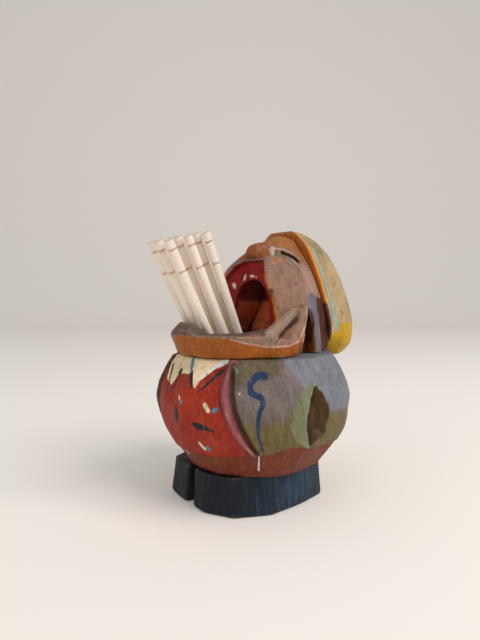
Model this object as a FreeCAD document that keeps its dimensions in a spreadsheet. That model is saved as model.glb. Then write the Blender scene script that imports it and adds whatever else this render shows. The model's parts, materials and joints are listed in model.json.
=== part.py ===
"""Toothpick holder: a squat carved wooden figure with its head thrown back.

The mouth opens into a bore that runs down through the body to a narrower
well, and the toothpicks stand in the well and lean over the lower jaw.

Millimetres. The figure looks along -Y, its left hand is on the +X side and
+Z is up. The origin lies on the ground, on the axis of the body.
"""
import FreeCAD
import Part

import math
import os

import Sketcher

# Driving dimensions, in millimetres and degrees, as they stand in the sheet.
SIZES = {
    # Boots block
    "boots_height": 9.4,
    "boots_foot_front": 18.8,
    "boots_foot_near": 15.0,
    "boots_foot_far": 16.8,
    "boots_foot_back": 16.6,
    "boots_top_front": 17.0,
    "boots_top_near": 14.4,
    "boots_top_far": 15.6,
    "boots_top_back": 15.4,
    "boots_cleft_width": 3.2,
    "boots_cleft_depth": 4.6,
    "boots_cleft_aside": 4.6,
    # Torso block, radius over the corners and height of each carved ring
    "torso_foot_radius": 17.8,
    "torso_hem_radius": 20.2,
    "torso_hem_height": 12.7,
    "torso_hip_radius": 23.4,
    "torso_hip_height": 17.6,
    "torso_belly_radius": 24.7,
    "torso_belly_height": 24.4,
    "torso_chest_radius": 23.9,
    "torso_chest_height": 30.2,
    "torso_neck_radius": 20.4,
    "neck_height": 37.0,
    # Lapel and the fold beside it: degrees from the front at each ring, and half width
    "lapel_hip_turn": 41.5,
    "lapel_belly_turn": 32.1,
    "lapel_chest_turn": 28.0,
    "lapel_neck_turn": 30.6,
    "lapel_half_turn": 2.6,
    "lapel_rise": 0.8,
    "fold_hip_turn": 44.2,
    "fold_belly_turn": 35.6,
    "fold_chest_turn": 31.8,
    "fold_neck_turn": 31.6,
    "fold_half_turn": 1.8,
    "fold_depth": 1.1,
    "far_lapel_shift": 8.0,
    # Leaf-shaped pockets cut into the sides, from the rear edge to the front edge
    "pocket_floor": 22.4,
    "pocket_edge": 6.9,
    "pocket_side": 0.2,
    "pocket_foot": 16.9,
    "pocket_low": 20.6,
    "pocket_high": 27.4,
    "pocket_top": 31.4,
    "pocket_tip": 3.9,
    # Bore for the toothpicks, and the narrower well under it for their points
    "bore_radius": 13.6,
    "bore_forward": 3.2,
    "bore_foot": 14.0,
    "well_radius": 10.6,
    "well_back": 0.6,
    "well_floor": 6.4,
    # Lower jaw
    "jaw_height": 42.2,
    "jaw_side": 17.0,
    "jaw_foot_front": 20.4,
    "jaw_front": 24.2,
    "jaw_back": 17.0,
    "chin_half_width": 6.0,
    "chin_front": 25.4,
    "chin_height": 44.4,
    "chin_root": 20.0,
    "chin_overlap": 0.5,
    "mouth_front": 19.6,
    "mouth_side": 12.6,
    # Bevel along the top of the jaw, from its front to its back
    "bevel_front": 20.0,
    "bevel_front_ridge": 45.9,
    "bevel_front_edge": 40.3,
    "bevel_back": 2.0,
    "bevel_back_ridge": 48.4,
    "bevel_back_edge": 37.9,
    "bevel_reach": 20.0,
    # Upper head behind the mouth: each level's height, how far its face stands in front of
    # the axis, its face's near and far half width, its temple and its rear half width
    "face_front": 3.1,
    "face_near": 10.2,
    "face_far": 10.0,
    "face_temple": 15.3,
    "face_temple_back": 4.6,
    "face_rear": 12.3,
    "cheek_height": 50.0,
    "cheek_front": 3.1,
    "cheek_near": 9.2,
    "cheek_far": 9.8,
    "cheek_temple": 14.3,
    "cheek_temple_back": 4.6,
    "cheek_rear": 11.4,
    "lid_height": 55.0,
    "lid_front": 3.0,
    "lid_near": 7.1,
    "lid_far": 9.0,
    "lid_temple": 12.4,
    "lid_temple_back": 4.7,
    "lid_rear": 10.1,
    "eye_height": 58.8,
    "eye_front": 2.1,
    "eye_near": 5.7,
    "eye_far": 7.0,
    "eye_temple": 10.1,
    "eye_temple_back": 5.2,
    "eye_rear": 8.8,
    "lip_height": 62.2,
    "lip_front": 0.0,
    "lip_near": 3.5,
    "lip_far": 3.5,
    "lip_temple": 7.9,
    "lip_temple_back": 6.0,
    "lip_rear": 7.2,
    "brow_height": 67.4,
    "brow_front": -7.8,
    "brow_near": 1.6,
    "brow_far": 1.6,
    "brow_temple": 3.2,
    "brow_temple_back": 9.4,
    "brow_rear": 3.8,
    # Strips in front of the hat's brim, and the wedges gouged out in front of them
    "ear_side": 15.8,
    "ear_front": 5.6,
    "ear_back": 8.9,
    "ear_root": 10.5,
    "ear_middle_height": 44.0,
    "ear_middle_side": 15.4,
    "ear_top_height": 51.4,
    "ear_top_side": 12.5,
    "ear_top_front": 7.4,
    "ear_top_back": 9.3,
    "gouge_front": 1.6,
    "gouge_back": 5.6,
    "gouge_front_floor": 14.7,
    "gouge_back_floor": 12.6,
    "gouge_top": 47.4,
    "gouge_top_front": 3.2,
    "gouge_top_back": 4.4,
    "gouge_top_floor": 14.0,
    "nose_half_width": 2.7,
    "nose_front": -0.8,
    "nose_bottom": 61.0,
    "nose_top": 65.2,
    "nose_depth": 9.0,
    "nose_chamfer": 1.6,
    # Open mouth: a wide shallow dish for the gums, and the deep arch of the throat inside it
    "mouth_foot": 41.2,
    "mouth_reach": 8.0,
    "gum_foot_near": 10.0,
    "gum_foot_far": 9.2,
    "gum_cheek_near": 8.8,
    "gum_cheek_far": 9.0,
    "gum_lid_near": 6.7,
    "gum_lid_far": 8.0,
    "gum_eye_near": 5.4,
    "gum_eye_far": 5.4,
    "gum_top": 60.2,
    "gum_top_near": 4.4,
    "gum_top_far": 2.6,
    "gum_back": -1.0,
    "throat_half_width": 6.6,
    "throat_spring": 48.6,
    "throat_back": 9.0,
    # Hat block
    "brim_lean": 9.0,
    "brim_foot": 16.0,
    "hat_half_width": 15.4,
    "hat_back": 27.0,
    "hat_brim_half_width": 13.7,
    "hat_foot_half_width": 13.4,
    "hat_foot_back": 25.0,
    "hat_foot_brim_half_width": 11.6,
    "hat_foot_bevel": 2.6,
    "hat_low_height": 43.5,
    "hat_middle_height": 50.0,
    "hat_middle_back": 25.9,
    "hat_middle_half_width": 14.7,
    "hat_middle_brim_half_width": 12.6,
    "hat_crown_height": 56.5,
    "hat_crown_half_width": 13.2,
    "hat_crown_back": 24.1,
    "hat_crown_brim_half_width": 10.9,
    "hat_upper_height": 63.0,
    "hat_upper_half_width": 10.2,
    "hat_upper_back": 21.7,
    "hat_upper_brim_half_width": 8.8,
    "hat_rim_height": 66.4,
    "hat_rim_half_width": 7.2,
    "hat_rim_back": 19.6,
    "hat_rim_brim_half_width": 6.9,
    "hat_top_height": 68.9,
    "hat_top_half_width": 4.6,
    "hat_top_back": 16.4,
    "hat_top_brim_half_width": 3.8,
    # Dowels that peg the blocks together
    "dowel_radius": 1.5,
    "dowel_length": 12.0,
    "glue_gap": 0.05,
    "end_gap": 0.5,
    "neck_dowel_side": 9.0,
    "neck_dowel_back": 12.5,
    "boots_dowel_side": 10.0,
    "boots_dowel_back": 9.0,
    "boots_dowel_length": 8.0,
    "hat_dowel_height": 64.4,
    "hat_dowel_length": 8.0,
    # Toothpicks
    "pick_length": 65.0,
    "pick_radius": 1.05,
    "pick_point_length": 8.0,
    "pick_point_radius": 0.25,
    "pick_groove_depth": 0.28,
    "pick_groove_width": 0.5,
    "pick_upper_groove": 2.2,
    "pick_lower_groove": 7.6,
    "pick_rest_gap": 0.3,
    "pick_spacing": 0.45,
    "pick_foot_aside": 1.6,
    "pick_foot_back": 3.2,
    "pick_side_back": 0.5,
    "pick_front_lean": 29.5,
    "pick_row_lean": 2.6,
    "pick_splay": 1.0,
}

FULL_TURN = 360
QUARTER_TURN = 90
DIGITS = 6

TORSO_SIDES = 14
TORSO_RINGS = (
    ("boots_height", "torso_foot_radius"),
    ("torso_hem_height", "torso_hem_radius"),
    ("torso_hip_height", "torso_hip_radius"),
    ("torso_belly_height", "torso_belly_radius"),
    ("torso_chest_height", "torso_chest_radius"),
    ("neck_height", "torso_neck_radius"),
)
LAPEL_RINGS = ("hip", "belly", "chest", "neck")
LAPEL_ROOT = 2.0
BRIM_SPARE = 1.0
SKULL_LEVELS = ("face", "cheek", "lid", "eye", "lip", "brow")
PICK_ROWS = (0, 1, 2)
PICK_COLUMNS = (-1, 0, 1)
PICK_ROW_STRETCH = 1.1


class Size:
    """A number together with the text of the sheet expression that gives it."""

    def __init__(self, value, text):
        self.value = value
        self.text = text

    def __add__(self, other):
        other = as_size(other)
        return Size(self.value + other.value, f"({self.text} + {other.text})")

    def __sub__(self, other):
        other = as_size(other)
        return Size(self.value - other.value, f"({self.text} - {other.text})")

    def __mul__(self, other):
        other = as_size(other)
        return Size(self.value * other.value, f"({self.text} * {other.text})")

    def __neg__(self):
        return Size(-self.value, f"(-1 * {self.text})")


def as_size(number):
    """A plain number as a Size, and a Size as it is."""
    return number if isinstance(number, Size) else Size(number, f"({number})")


def size(alias):
    """The value of one cell of the sheet."""
    return Size(SIZES[alias], f"Sizes.{alias}")


def sine(angle):
    """Sine of an angle in degrees."""
    return Size(math.sin(math.radians(angle.value)), f"sin({angle.text})")


def cosine(angle):
    """Cosine of an angle in degrees."""
    return Size(math.cos(math.radians(angle.value)), f"cos({angle.text})")


def tangent(angle):
    """Tangent of an angle in degrees."""
    return Size(math.tan(math.radians(angle.value)), f"tan({angle.text})")


def make_sheet(doc):
    """The spreadsheet that holds every driving dimension."""
    sheet = doc.addObject("Spreadsheet::Sheet", "Sizes")
    for row, (alias, number) in enumerate(SIZES.items(), start=1):
        sheet.set(f"A{row}", alias)
        sheet.set(f"B{row}", str(number))
        sheet.setAlias(f"B{row}", alias)
    doc.recompute()
    return sheet


def make_body(doc, label):
    """An empty body under its own label."""
    body = doc.addObject("PartDesign::Body", label)
    body.Label = label
    return body


def new_sketch(body, name, plane, offset=None):
    """A sketch on one of the body's origin planes, set off from it by a size."""
    planes = {feature.Role: feature for feature in body.Origin.OriginFeatures}
    sketch = body.newObject("Sketcher::SketchObject", name)
    sketch.AttachmentSupport = [(planes[plane], "")]
    sketch.MapMode = "FlatFace"
    if offset is not None:
        sketch.AttachmentOffset = FreeCAD.Placement(
            FreeCAD.Vector(0, 0, offset.value), FreeCAD.Rotation())
        sketch.setExpression("AttachmentOffset.Base.z", offset.text)
    return sketch


def hold_point(sketch, line, end, name, across, along):
    """Ties one end of a line to its distances from the sketch's origin."""
    for axis, kind, distance in (("x", "DistanceX", across), ("y", "DistanceY", along)):
        held = sketch.addConstraint(
            Sketcher.Constraint(kind, -1, 1, line, end, distance.value))
        sketch.renameConstraint(held, f"{name}{axis}")
        sketch.setExpression(f"Constraints.{name}{axis}", distance.text)


def draw_outline(sketch, corners):
    """A closed outline of straight lines through the given corners."""
    points = [FreeCAD.Vector(across.value, along.value, 0) for across, along in corners]
    count = len(points)
    for index, start in enumerate(points):
        sketch.addGeometry(Part.LineSegment(start, points[(index + 1) % count]), False)
    for index, (across, along) in enumerate(corners):
        following = (index + 1) % count
        sketch.addConstraint(Sketcher.Constraint("Coincident", index, 2, following, 1))
        hold_point(sketch, index, 1, f"corner{index}", across, along)


def draw_circle(sketch, number, radius, across, along):
    """A circle held by its radius and its centre."""
    centre = FreeCAD.Vector(across.value, along.value, 0)
    normal = FreeCAD.Vector(0, 0, 1)
    circle = sketch.addGeometry(Part.Circle(centre, normal, radius.value), False)
    held = sketch.addConstraint(Sketcher.Constraint("Radius", circle, radius.value))
    sketch.renameConstraint(held, f"radius{number}")
    sketch.setExpression(f"Constraints.radius{number}", radius.text)
    hold_point(sketch, circle, 3, f"centre{number}", across, along)


def mirrored(half):
    """A whole outline from its +X half, which runs from front to back."""
    return half + [(-across, along) for across, along in reversed(half)]


def ring(half_width, half_length):
    """The corners of a carved ring, with a flat facing the front."""
    turns = [math.radians(step * FULL_TURN / TORSO_SIDES) for step in range(TORSO_SIDES)]
    return [(half_width * round(math.cos(turn), DIGITS),
             half_length * round(math.sin(turn), DIGITS)) for turn in turns]


def loft(body, name, levels, kind="PartDesign::AdditiveLoft", plane="XY_Plane"):
    """Flat facets between outlines at the given heights over a plane."""
    sketches = []
    for index, (height, corners) in enumerate(levels):
        sketch = new_sketch(body, f"{name}_outline_{index}", plane, height)
        draw_outline(sketch, corners)
        sketches.append(sketch)
    feature = body.newObject(kind, name)
    feature.Profile = sketches[0]
    feature.Sections = sketches[1:]
    feature.Ruled = True
    return feature


def pocket(body, name, sketch, depth=None, both_ways=False, turned=False):
    """Cuts a sketch into the body, to a depth or right through."""
    feature = body.newObject("PartDesign::Pocket", name)
    feature.Profile = sketch
    feature.Midplane = both_ways
    feature.Reversed = turned
    if depth is None:
        feature.Type = "ThroughAll"
    else:
        feature.Type = "Length"
        feature.Length = depth.value
        feature.setExpression("Length", depth.text)
    return feature


def pad(body, name, sketch, length, both_ways=False):
    """Raises a sketch by a length."""
    feature = body.newObject("PartDesign::Pad", name)
    feature.Profile = sketch
    feature.Midplane = both_ways
    feature.Length = length.value
    feature.setExpression("Length", length.text)
    return feature


def drill(body, name, height, depth, holes, turned=False):
    """Round holes, each a radius and a centre, from a level plane into the body."""
    sketch = new_sketch(body, f"{name}_outline", "XY_Plane", height)
    for number, (radius, across, along) in enumerate(holes):
        draw_circle(sketch, number, radius, across, along)
    return pocket(body, name, sketch, depth, turned=turned)


def well_hole():
    """The well under the bore as a radius and a centre."""
    return (size("well_radius"), as_size(0), size("well_back"))


def dowel_holes(side, back):
    """A left and a right hole for a pair of dowels."""
    radius = size("dowel_radius") + size("glue_gap")
    return [(radius, size(side), size(back)), (radius, -size(side), size(back))]


def half_depth(length):
    """How far a dowel hole goes into each of the two blocks it pegs."""
    return size(length) * 0.5 + size("end_gap")


def make_boots(doc):
    """The block of two boots, with the cleft between them and the well for the points."""
    body = make_body(doc, "boots_block")

    cleft = size("boots_cleft_aside")
    lip = size("boots_cleft_width") * 0.5

    def outline(front, near, far, back):
        return [
            (lip - cleft, -front * 0.88),
            (near * 0.12, -front),
            (near * 0.62, -front * 0.86),
            (near * 0.95, -front * 0.45),
            (near, back * 0.10),
            (near * 0.92, back * 0.62),
            (near * 0.50, back),
            (-far * 0.45, back),
            (-far * 0.90, back * 0.60),
            (-far, as_size(0)),
            (-far * 0.98, -front * 0.45),
            (-far * 0.88, -front * 0.79),
            (-far * 0.60, -front * 0.87),
            (-lip - cleft, -front * 0.82),
        ]

    levels = []
    for height, level in ((as_size(0), "foot"), (size("boots_height"), "top")):
        reaches = [size(f"boots_{level}_{side}") for side in ("front", "near", "far", "back")]
        levels.append((height, outline(*reaches)))
    loft(body, "boots", levels)

    slot = new_sketch(body, "cleft_outline", "XY_Plane", size("boots_height"))
    front = size("boots_foot_front")
    draw_outline(slot, [
        (lip - cleft, -front),
        (-cleft, size("boots_cleft_depth") - front * 0.88),
        (-lip - cleft, -front),
    ])
    pocket(body, "cleft", slot)

    well_depth = size("boots_height") - size("well_floor")
    drill(body, "well", size("boots_height"), well_depth, [well_hole()])
    drill(body, "dowel_holes", size("boots_height"), half_depth("boots_dowel_length"),
          dowel_holes("boots_dowel_side", "boots_dowel_back"))
    return body


def around(radius, turn):
    """A place at a radius and at degrees from the front towards +X."""
    return (radius * sine(turn), -radius * cosine(turn))


def add_lapels(body):
    """A raised lapel on each side of the front, and the fold cut beside it."""
    for hand, sign in (("near", 1), ("far", -1)):
        ridge = []
        groove = []
        for name in LAPEL_RINGS:
            height = size("neck_height") if name == "neck" else size(f"torso_{name}_height")
            radius = size(f"torso_{name}_radius")
            shift = as_size(0)
            if hand == "far" and name != "neck":
                shift = size("far_lapel_shift")
            middle = (size(f"lapel_{name}_turn") + shift) * sign
            half = size("lapel_half_turn") * sign
            ridge.append((height, [
                around(radius - LAPEL_ROOT, middle - half),
                around(radius, middle - half),
                around(radius + size("lapel_rise"), middle),
                around(radius, middle + half),
                around(radius - LAPEL_ROOT, middle + half),
            ]))
            middle = (size(f"fold_{name}_turn") + shift) * sign
            half = size("fold_half_turn") * sign
            groove.append((height, [
                around(radius + LAPEL_ROOT, middle - half),
                around(radius - size("fold_depth"), middle),
                around(radius + LAPEL_ROOT, middle + half),
            ]))
        loft(body, f"{hand}_lapel", ridge)
        loft(body, f"{hand}_fold", groove, "PartDesign::SubtractiveLoft")


def cut_pockets(body):
    """A leaf-shaped pocket cut into each side of the jacket."""
    edge = size("pocket_edge")
    tip = size("pocket_tip")
    side = size("pocket_side")
    low = size("pocket_low")
    high = size("pocket_high")
    leaf = [
        (-tip, size("pocket_foot")),
        (-side - tip * 0.25, low),
        (-side, (low + high) * 0.5),
        (-side - tip * 0.1, high),
        (-tip, size("pocket_top")),
        (-edge * 0.88, high),
        (-edge, (low + high) * 0.5),
        (-edge * 0.95, low),
    ]
    for hand, sign in (("left", 1), ("right", -1)):
        sketch = new_sketch(body, f"{hand}_pocket_outline", "YZ_Plane", size("pocket_floor") * sign)
        draw_outline(sketch, leaf)
        pocket(body, f"{hand}_pocket", sketch, size("bore_radius"), turned=sign > 0)


def make_torso(doc):
    """The round body with its knife-cut facets, the bore and the well under it."""
    body = make_body(doc, "torso_block")
    loft(body, "torso", [(size(height), ring(size(radius), size(radius)))
                         for height, radius in TORSO_RINGS])
    add_lapels(body)
    cut_pockets(body)
    bore = (size("bore_radius"), as_size(0), -size("bore_forward"))
    drill(body, "bore", size("neck_height"), size("neck_height") - size("bore_foot"), [bore])
    drill(body, "well", size("bore_foot"), None, [well_hole()])
    drill(body, "neck_dowel_holes", size("neck_height"), half_depth("dowel_length"),
          dowel_holes("neck_dowel_side", "neck_dowel_back"))
    drill(body, "boots_dowel_holes", size("boots_height"), half_depth("boots_dowel_length"),
          dowel_holes("boots_dowel_side", "boots_dowel_back"), turned=True)
    return body


def brim_edge(height):
    """How far back the plane between head and hat lies at a height."""
    return size("brim_foot") - (height - size("neck_height")) * tangent(size("brim_lean"))


def cut_at_brim(body, keep_front):
    """Takes away what lies on the other side of the plane between head and hat."""
    low = size("boots_height")
    high = size("hat_top_height") * 1.3
    far = size("hat_back") * (3 if keep_front else -3)
    sketch = new_sketch(body, "brim_outline", "YZ_Plane")
    draw_outline(sketch, [
        (brim_edge(low), low),
        (far, low),
        (far, high),
        (brim_edge(high), high),
    ])
    pocket(body, "brim_cut", sketch, both_ways=True)


def jaw_outline(front):
    """The lower jaw seen from above, with its chin at the given front."""
    side = size("jaw_side")
    back = size("jaw_back")
    return mirrored([
        (size("chin_half_width") * 0.8, -front),
        (side * 0.70, -front * 0.80),
        (side * 0.97, -front * 0.42),
        (side, as_size(0)),
        (side * 0.93, back * 0.55),
        (side * 0.66, back * 0.95),
        (side * 0.30, back * 1.08),
    ])


def bevel_jaw(body):
    """Slopes the top of the jaw down towards its outside and its back."""
    reach = size("bevel_reach")
    clear = size("hat_top_height")

    def roof(end):
        edge = size(f"bevel_{end}_edge")
        return [
            (as_size(0), size(f"bevel_{end}_ridge")),
            (reach, edge),
            (reach, clear),
            (-reach, clear),
            (-reach, edge),
        ]

    loft(body, "bevel", [
        (size("bevel_front"), roof("front")),
        (-size("bevel_back"), roof("back")),
    ], "PartDesign::SubtractiveLoft", "XZ_Plane")


def add_skull(body):
    """The upper head, which stands up behind the mouth and narrows to the brow."""
    levels = []
    for name in SKULL_LEVELS:
        height = size("neck_height") if name == "face" else size(f"{name}_height")
        front = -size(f"{name}_front")
        temple = size(f"{name}_temple")
        temple_back = size(f"{name}_temple_back")
        rear = size(f"{name}_rear")
        rear_back = brim_edge(height) + BRIM_SPARE
        levels.append((height, [
            (size(f"{name}_near"), front),
            (temple, temple_back),
            (rear, rear_back),
            (-rear, rear_back),
            (-temple, temple_back),
            (-size(f"{name}_far"), front),
        ]))
    loft(body, "skull", levels)


def add_ears(body):
    """The upright strip in front of the brim on each side of the head."""
    for hand, sign in (("left", 1), ("right", -1)):
        root = size("ear_root") * sign

        def strip(side, front, back):
            return [(root, front), (side * sign, front), (side * sign, back), (root, back)]

        loft(body, f"{hand}_ear", [
            (size("neck_height"), strip(size("ear_side"), size("ear_front"), size("ear_back"))),
            (size("ear_middle_height"),
             strip(size("ear_middle_side"), size("ear_front"), size("ear_back"))),
            (size("ear_top_height"),
             strip(size("ear_top_side"), size("ear_top_front"), size("ear_top_back"))),
        ])


def cut_gouges(body):
    """The deep wedge cut between the cheek and the ear on each side."""
    clear = size("bevel_reach")
    for hand, sign in (("left", 1), ("right", -1)):
        loft(body, f"{hand}_gouge", [
            (size("neck_height"), [
                (size("gouge_front_floor") * sign, -size("gouge_front")),
                (clear * sign, -size("gouge_front")),
                (clear * sign, size("gouge_back")),
                (size("gouge_back_floor") * sign, size("gouge_back")),
            ]),
            (size("gouge_top"), [
                (size("gouge_top_floor") * sign, size("gouge_top_front")),
                (clear * sign, size("gouge_top_front")),
                (clear * sign, size("gouge_top_back")),
                (size("gouge_top_floor") * sign, size("gouge_top_back")),
            ]),
        ], "PartDesign::SubtractiveLoft")


def add_nose(body):
    """The nose, a wedge that points up and forward over the mouth."""
    sketch = new_sketch(body, "nose_outline", "YZ_Plane")
    front = -size("nose_front")
    chamfer = size("nose_chamfer")
    draw_outline(sketch, [
        (front, size("nose_bottom") + chamfer),
        (front + chamfer, size("nose_bottom")),
        (size("nose_depth"), size("nose_bottom")),
        (size("nose_depth"), size("nose_top") + chamfer),
        (front + chamfer * 0.5, size("nose_top")),
    ])
    pad(body, "nose", sketch, size("nose_half_width") * 2, both_ways=True)


def cut_gums(body):
    """A shallow dish over the front of the face, up to the edges of the cheeks."""
    back = size("gum_back")
    dish = new_sketch(body, "gum_outline", "XZ_Plane", -back)
    rises = [("foot", size("mouth_foot"))]
    rises += [(name, size(f"{name}_height")) for name in ("cheek", "lid", "eye")]
    rises.append(("top", size("gum_top")))
    near = [(size(f"gum_{name}_near"), height) for name, height in rises]
    far = [(-size(f"gum_{name}_far"), height) for name, height in rises]
    draw_outline(dish, near + far[::-1])
    pocket(body, "gum", dish, back + size("mouth_reach"), turned=True)


def cut_throat(body):
    """A round-headed arch cut forward through the face from the back of the throat."""
    back = size("throat_back")
    arch = new_sketch(body, "throat_outline", "XZ_Plane", -back)
    side = size("throat_half_width")
    spring = size("throat_spring")
    foot = size("mouth_foot")
    corners = [(-side, spring), (-side, foot), (side, foot), (side, spring)]
    points = [FreeCAD.Vector(across.value, along.value, 0) for across, along in corners]
    for start, end in zip(points, points[1:]):
        arch.addGeometry(Part.LineSegment(start, end), False)
    centre = FreeCAD.Vector(0, spring.value, 0)
    circle = Part.Circle(centre, FreeCAD.Vector(0, 0, 1), side.value)
    arc = arch.addGeometry(Part.ArcOfCircle(circle, 0, math.pi), False)
    arch.addConstraint(Sketcher.Constraint("Coincident", 0, 2, 1, 1))
    arch.addConstraint(Sketcher.Constraint("Coincident", 1, 2, 2, 1))
    arch.addConstraint(Sketcher.Constraint("Coincident", 2, 2, arc, 1))
    arch.addConstraint(Sketcher.Constraint("Coincident", arc, 2, 0, 1))
    hold_point(arch, 0, 1, "left_spring", *corners[0])
    hold_point(arch, 1, 1, "left_foot", *corners[1])
    hold_point(arch, 2, 1, "right_foot", *corners[2])
    hold_point(arch, arc, 3, "arch_centre", as_size(0), spring)
    pocket(body, "throat", arch, back + size("mouth_reach"), turned=True)


def cut_mouth(body):
    """The gums' dish, the throat inside it and the bowl of the lower jaw."""
    cut_gums(body)
    cut_throat(body)

    levels = []
    for height, half_width, front in (
            (size("neck_height"), size("bore_radius"), size("bore_forward") + size("bore_radius")),
            (size("jaw_height"), size("mouth_side"), size("mouth_front"))):
        back = size("bore_radius") - size("bore_forward")
        middle = (front - back) * 0.5
        reach = (front + back) * 0.5
        levels.append((height, [
            (across, along - middle) for across, along in ring(half_width, reach)]))
    loft(body, "bowl", levels, "PartDesign::SubtractiveLoft")


def add_chin(body):
    """The raised lip of the chin in front of the toothpicks."""
    half_width = size("chin_half_width")
    low = [
        (half_width * 0.8, -size("jaw_front")),
        (half_width * 1.5, -size("chin_root")),
    ]
    high = [
        (half_width * 0.6, -size("chin_front")),
        (half_width, -size("chin_root") * 1.03),
    ]
    loft(body, "chin", [
        (size("jaw_height") - size("chin_overlap"), mirrored(low)),
        (size("chin_height"), mirrored(high)),
    ])


def make_head(doc):
    """Lower jaw, open mouth, nose and upper head, cut off at the hat's brim."""
    body = make_body(doc, "head_block")
    loft(body, "jaw", [
        (size("neck_height"), jaw_outline(size("jaw_foot_front"))),
        (size("jaw_height"), jaw_outline(size("jaw_front"))),
    ])
    bevel_jaw(body)
    add_skull(body)
    add_nose(body)
    add_chin(body)
    cut_gouges(body)
    add_ears(body)
    cut_mouth(body)
    cut_at_brim(body, keep_front=True)
    drill(body, "neck_dowel_holes", size("neck_height"), half_depth("dowel_length"),
          dowel_holes("neck_dowel_side", "neck_dowel_back"), turned=True)
    return body


def make_hat(doc):
    """The hat, a rounded slab behind the head that leans back over the shoulders."""
    body = make_body(doc, "hat_block")

    def outline(half_width, back, brim_half_width):
        return mirrored([
            (brim_half_width, size("hat_top_brim_half_width")),
            (brim_half_width, size("brim_foot") * 0.7),
            (half_width, back * 0.74),
            (half_width * 0.88, back * 0.95),
            (half_width * 0.42, back * 1.01),
        ])

    side = size("hat_half_width")
    back = size("hat_back")
    levels = [
        (size("neck_height"), outline(size("hat_foot_half_width"), size("hat_foot_back"),
                                      size("hat_foot_brim_half_width"))),
        (size("neck_height") + size("hat_foot_bevel"),
         outline(side * 0.98, back * 0.98, size("hat_brim_half_width"))),
        (size("hat_low_height"), outline(side, back, size("hat_brim_half_width"))),
    ]
    for ring_name in ("middle", "crown", "upper", "rim", "top"):
        ring_outline = outline(size(f"hat_{ring_name}_half_width"), size(f"hat_{ring_name}_back"),
                               size(f"hat_{ring_name}_brim_half_width"))
        levels.append((size(f"hat_{ring_name}_height"), ring_outline))
    loft(body, "hat", levels)
    cut_at_brim(body, keep_front=False)
    return body


def bind_placement(thing, base, yaw=None, roll=None):
    """Binds a placement: turned about X by roll, then about Z by yaw, then moved."""
    yaw = yaw or as_size(0)
    roll = roll or as_size(0)
    move = "; ".join(part.text for part in base)
    thing.setExpression(
        "Placement",
        f"create(<<placement>>; create(<<vector>>; {move}); "
        f"create(<<rotation>>; {yaw.text}; 0; {roll.text}))")


def make_cylinder(doc, name, radius, length, base, roll=None):
    """A round bar from a base point, along +Z unless it is rolled about X."""
    bar = doc.addObject("Part::Cylinder", name)
    bar.Radius = radius.value
    bar.setExpression("Radius", radius.text)
    bar.Height = length.value
    bar.setExpression("Height", length.text)
    bind_placement(bar, base, roll=roll)
    return bar


def make_dowel_pair(doc, name, length, middle, side, back):
    """A left and a right upright dowel across the joint at a middle height."""
    for hand, sign in (("left", 1), ("right", -1)):
        label = f"{name}_{hand}"
        base = (size(side) * sign, size(back), middle - size(length) * 0.5)
        dowel = make_cylinder(doc, label, size("dowel_radius"), size(length), base)
        dowel.Label = label


def make_hat_dowel(doc, head, hat):
    """The dowel square to the brim plane, and its hole in the head and in the hat."""
    roll = size("brim_lean") - QUARTER_TURN
    half = size("hat_dowel_length") * 0.5
    height = size("hat_dowel_height")

    def start(reach):
        across = brim_edge(height) - reach * cosine(size("brim_lean"))
        return (as_size(0), across, height - reach * sine(size("brim_lean")))

    bar = make_cylinder(doc, "hat_dowel", size("dowel_radius"), size("hat_dowel_length"),
                        start(half), roll)
    bar.Label = "hat_dowel"
    reach = half + size("end_gap")
    for label, block in (("head_block", head), ("hat_block", hat)):
        block.Label = f"{label}_solid"
        hole = make_cylinder(doc, f"{label}_hole", size("dowel_radius") + size("glue_gap"),
                             reach * 2, start(reach), roll)
        cut = doc.addObject("Part::Cut", f"{label}_drilled")
        cut.Base = block
        cut.Tool = hole
        cut.Label = label


def pick_profile():
    """Half the section of a toothpick, as radius and height, from its point up."""
    radius = size("pick_radius")
    waist = radius - size("pick_groove_depth")
    length = size("pick_length")
    slope = size("pick_groove_width")
    corners = [
        (as_size(0), as_size(0)),
        (size("pick_point_radius"), as_size(0)),
        (radius, size("pick_point_length")),
    ]
    for groove in ("pick_lower_groove", "pick_upper_groove"):
        middle = length - size(groove)
        corners += [(radius, middle - slope), (waist, middle), (radius, middle + slope * 0.5)]
    corners += [(radius, length), (as_size(0), length)]
    return corners


def make_picks(doc):
    """Nine toothpicks that fan out upwards from a close group on the well's floor."""
    spacing = size("pick_radius") * 2 + size("pick_spacing")
    row_step = spacing * PICK_ROW_STRETCH
    number = 0
    for row in PICK_ROWS:
        lean = size("pick_front_lean") - size("pick_row_lean") * row
        for column in PICK_COLUMNS:
            number += 1
            body = make_body(doc, f"toothpick_{number}")
            sketch = new_sketch(body, f"toothpick_{number}_outline", "XZ_Plane")
            draw_outline(sketch, pick_profile())
            turned = body.newObject("PartDesign::Revolution", f"toothpick_{number}_turned")
            turned.Profile = sketch
            turned.ReferenceAxis = (sketch, ["V_Axis"])
            turned.Angle = FULL_TURN
            foot = (
                spacing * column - size("pick_foot_aside"),
                size("pick_foot_back") + row_step * row + size("pick_side_back") * abs(column),
                size("well_floor") + size("pick_rest_gap"),
            )
            bind_placement(body, foot, yaw=size("pick_splay") * column, roll=lean)


def check(doc, parts):
    """Stops if anything in the document failed or has no sound shape."""
    for thing in doc.Objects:
        if "Invalid" in thing.State or "Error" in thing.State:
            raise RuntimeError(f"{thing.Name} failed: {thing.State}")
    for part in parts:
        if part.Shape.isNull() or not part.Shape.isValid():
            raise RuntimeError(f"{part.Label} has no sound shape")


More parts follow.
